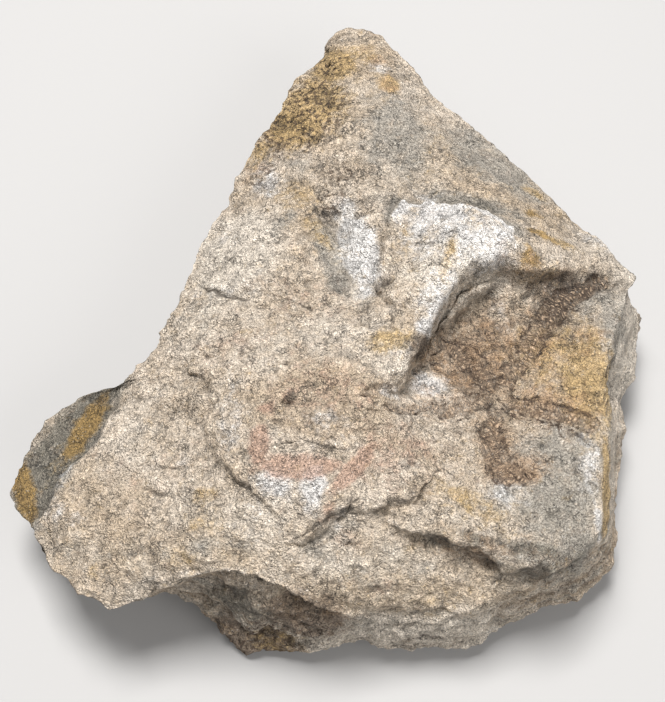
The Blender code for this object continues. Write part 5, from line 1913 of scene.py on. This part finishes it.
    def grained_and_shaded(self, book: NodeBook, colour: Shade, grain_tone_and_shade: Shade) -> Shade:
        """Adds the grain's light and dark, which carries painted shade of the relief, painted shade in
        hollows, cracks, pits and along the arms' edges, and a painted highlight on ridges.

        Args:
            book: The material's nodes.
            colour: The colour so far.
            grain_tone_and_shade: How light the sand is, from its grain's tone and the painted shade of its
                crumbs, facets and hair cracks.

        Returns:
            The finished colour.
        """
        cells = book.node("ShaderNodeTexVoronoi", {"feature": "F1"}, book.place, 1 / 0.36, output="Color")
        pick = book.node("ShaderNodeSeparateColor", {}, cells)
        colour = book.over(self.quartz_share * book.step(pick, 0.975, 0.985), colour, self.quartz)
        # The grain's tone, with the relief's painted shade in it; weaker in the star's arms.
        speckle = 1.0 + self.speckle * (grain_tone_and_shade - self.mean_grains) * (1.0 - 0.5 * book.mask(Trace.ARM))
        # Painted shade in hollows and a painted highlight on ridges, both from the cavity mask.
        hollow = book.step(book.mask(Trace.CAVITY), 0.05, 0.5)
        ridge = book.step(book.mask(Trace.CAVITY), -0.05, -0.5)
        shaded = 1.0 - self.hollow_shade * hollow * (1.0 - 0.6 * book.mask(Trace.ARM))
        light = speckle * shaded * (1.0 + self.ridge_light * ridge)
        colour = book.vector("SCALE", colour, light)
        # Painted shade in cracks, along the star's arms' edges and in pits.
        crack = book.step(book.mask(Trace.CRACK), 0.3, 0.9)
        colour = book.over(self.crack_share * crack, colour, self.crevice_shade)
        colour = book.over(self.margin_share * book.mask(Trace.ARM_MARGIN), colour, self.plate_shade)
        pit = book.step(book.mask(Trace.HOLLOW), 0.2, 0.8)
        return book.over(self.crack_share * pit, colour, self.crevice_shade)

    def plated(self, book: NodeBook, colour: Shade) -> tuple[Shade, Shade]:
        """Lays the star's small plates, and the small holes of the pitted stone, over a colour: a painted
        highlight on the plates' tops, and painted shade in the gaps, along the arms' edges and dark lines,
        and in the holes.

        Args:
            book: The material's nodes.
            colour: The stone's colour.

        Returns:
            The colour with the plates and holes, and how far they stand out.
        """
        arm = book.mask(Trace.ARM)
        row, column = book.mask(Trace.PLATE_ROW), book.mask(Trace.PLATE_COLUMN)
        rows = book.node("ShaderNodeCombineXYZ", {}, row, column)
        loose = book.node("ShaderNodeTexNoise", {}, book.place, 1 / 1.6, 2.0, 0.6, output="Color")
        rows = book.vector("ADD", rows, book.vector("SCALE", loose, 1.3))
        settings = {"voronoi_dimensions": "2D", "feature": "DISTANCE_TO_EDGE"}
        edge = book.node("ShaderNodeTexVoronoi", settings, rows, 1.0, 0.0, 0.5, 2.0, 0.9)
        broken = 0.25 + 0.75 * book.step(book.noise(2.0, 3.0), 0.40, 0.52)
        hump = arm * book.step(edge, 0.12, 0.34)
        gap = arm * book.step(edge, 0.21, 0.10) * broken
        wobble = book.noise(1.1, 3.0, 0.7) - 0.5
        across = book.math("ABSOLUTE", book.mask(Trace.ARM_ACROSS))
        rim = book.math("ABSOLUTE", across - 1.0 + 1.8 * wobble)
        rim = book.step(rim, 0.17, 0.07) * book.mask(Trace.ARM_MARGIN)
        line = book.math("ABSOLUTE", book.mask(Trace.LINE_SIDE) + 2.6 * wobble)
        line = book.step(line, 0.36, 0.16) * book.step(book.mask(Trace.LINE), 0.1, 0.75) * broken
        line = book.math("MAXIMUM", rim, line)
        # Painted highlight on the plates' tops, then painted shade in their gaps, along the lines and in the
        # holes.
        colour = book.over(self.plate_share * hump, colour, self.plate_highlight)
        colour = book.over(self.plate_share * gap, colour, self.plate_shade)
        colour = book.over(self.line_share * line, colour, self.plate_shade)
        holes = book.step(book.noise(1.35, 2.0, 0.55), 0.475, 0.39)
        holes = holes * book.step(book.mask(Pigment.PITTED), 0.1, 0.6)
        colour = book.over(self.hole_share * holes, colour, self.plate_shade)
        plate_rise, hole_depth, line_depth = self.bump
        return colour, plate_rise * hump - hole_depth * holes - line_depth * line

    def terraces(self, book: NodeBook, size: float, levels: float) -> Shade:
        """Makes broken flakes of the bed, as flat steps with ragged edges.

        Args:
            book: The material's nodes.
            size: Size of the flakes, in millimetres.
            levels: How many steps the noise's whole range holds.

        Returns:
            The height, in whole steps.
        """
        climb = levels * book.noise(size, 4.0, 0.62)
        share = book.math("FRACT", climb)
        return climb - share + book.step(share, 0.82, 1.0)

    def faceted(self, book: NodeBook, size: float) -> Shade:
        """Makes broken facets, each leaning its own way, with sharp edges between them.

        Args:
            book: The material's nodes.
            size: Size of the facets, in millimetres.

        Returns:
            The height, in millimetres.
        """
        loose = book.node("ShaderNodeTexNoise", {}, book.place, 2.0 / size, 3.0, 0.6, output="Color")
        spot = book.vector("ADD", book.place, book.vector("SCALE", loose, 1.2 * size))
        middle = book.node("ShaderNodeTexVoronoi", {"feature": "F1"}, spot, 1 / size, output="Position")
        lean = book.node("ShaderNodeTexVoronoi", {"feature": "F1"}, spot, 1 / size, output="Color")
        offset = book.vector("SUBTRACT", spot, middle)
        slope = book.vector("SUBTRACT", lean, (0.5, 0.5, 0.5))
        return book.node("ShaderNodeVectorMath", {"operation": "DOT_PRODUCT"}, offset, slope, output="Value")

    def relief(self, book: NodeBook) -> tuple[Shade, Shade]:
        """The relief too fine for the mesh: sand grain, crumbs, hair cracks and broken flakes.

        Args:
            book: The material's nodes.

        Returns:
            How light the sand is, from its grain's tone and the painted shade of its crumbs, facets and hair
            cracks, and how far the surface stands out in millimetres.
        """
        grain = book.noise(self.grain_size, 1.0, 0.7)
        crumbs = book.noise(1.1, 3.0, 0.7)
        relief = 1.2 * crumbs
        for size, strength in self.facets:
            relief = relief + strength * self.faceted(book, size)
        creases: Value = 0.0
        for size, width in self.creases:
            veins = book.math("ABSOLUTE", book.noise(size, 3.0, 0.6) - 0.5)
            where = book.step(book.noise(2.2 * size, 2.0), 0.50, 0.60)
            creases = creases + book.step(veins, width, 0.1 * width) * where
        steps = 0.6 * self.terraces(book, 9.0, 9.0) + 0.4 * self.terraces(book, 3.6, 8.0)
        # The colour takes the grain's tone and, as painted light and shade, the crumbs, the facets' slope and
        # the hair cracks.
        light = 0.45 * relief + 3.6 * grain - self.crease_depth * creases
        return light, relief + grain + steps - self.crease_depth * creases


@dataclass(frozen=True)
class FloorFinish:
    """A plain pale floor."""

    colour: Colour = (0.40, 0.39, 0.38)
    roughness: float = 0.8

    def build(self) -> bpy.types.Material:
        """The floor's material."""
        book = NodeBook("pale_floor")
        book.shader.inputs["Base Color"].default_value = (*self.colour, 1.0)
        book.shader.inputs["Roughness"].default_value = self.roughness
        return book.material


@dataclass
class Studio:
    """The floor, the lights and the camera, in metres, with the camera's elevation in degrees."""

    floor_size: float = 6.0
    key_from: tuple[float, float, float] = (-0.10, 0.20, 1.02)
    key_size: float = 0.36
    key_watts: float = 18.3
    fill_from: tuple[float, float, float] = (0.58, -0.64, 0.58)
    fill_size: float = 0.8
    fill_watts: float = 5.3
    sky: Colour = (0.95, 0.97, 1.0)
    sky_strength: float = 0.30
    target: tuple[float, float, float] = (-0.00354, -0.0158, 0.030)
    camera_distance: float = 0.3692
    camera_elevation: float = 65.0
    sensor_width: float = 36.0
    image_height: int = 702
    focal_pixels: float = 1300.0

    def build(self) -> None:
        """Makes all of it."""
        self.floor()
        self.light("key_light", self.key_from, self.key_size, self.key_watts)
        self.light("fill_light", self.fill_from, self.fill_size, self.fill_watts)
        world = bpy.data.worlds.new("studio_sky")
        world.use_nodes = True
        background = world.node_tree.nodes["Background"]
        background.inputs["Color"].default_value = (*self.sky, 1.0)
        background.inputs["Strength"].default_value = self.sky_strength
        bpy.context.scene.world = world
        bpy.context.scene.view_settings.view_transform = "Standard"
        self.camera()

    def floor(self) -> None:
        """A wide level floor under the block."""
        shape = bmesh.new()
        bmesh.ops.create_grid(shape, x_segments=1, y_segments=1, size=self.floor_size / 2)
        mesh = bpy.data.meshes.new("studio_floor")
        shape.to_mesh(mesh)
        shape.free()
        mesh.materials.append(FloorFinish().build())
        floor = bpy.data.objects.new("studio_floor", mesh)
        bpy.context.scene.collection.objects.link(floor)

    def light(self, name: str, place: tuple[float, float, float], size: float, watts: float) -> None:
        """A square soft light that points at the block.

        Args:
            name: Its name.
            place: Where it stands.
            size: Its width.
            watts: Its power.
        """
        lamp = bpy.data.lights.new(name, "AREA")
        lamp.size = size
        lamp.energy = watts
        stand = bpy.data.objects.new(name, lamp)
        stand.location = place
        aim = Vector(self.target) - Vector(place)
        stand.rotation_euler = aim.to_track_quat("-Z", "Y").to_euler()
        bpy.context.scene.collection.objects.link(stand)

    def camera(self) -> None:
        """The camera, which looks down on the face from the near side."""
        lens = bpy.data.cameras.new("camera")
        lens.sensor_width = self.sensor_width
        lens.lens = self.focal_pixels / self.image_height * self.sensor_width
        camera = bpy.data.objects.new("camera", lens)
        tilt = math.radians(self.camera_elevation)
        back = Vector((0.0, -math.cos(tilt), math.sin(tilt)))
        camera.location = Vector(self.target) + back * self.camera_distance
        camera.rotation_euler = (math.pi / 2 - tilt, 0.0, 0.0)
        bpy.context.scene.collection.objects.link(camera)
        bpy.context.scene.camera = camera


def main() -> None:
    """Loads the frame and builds everything around it."""
    logging.basicConfig(level=logging.INFO, format="%(name)s: %(message)s")
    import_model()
    Studio().build()
    FossilBlock().build(SandstoneFinish())
    bpy.context.view_layer.update()


if __name__ == "__main__":
    main()
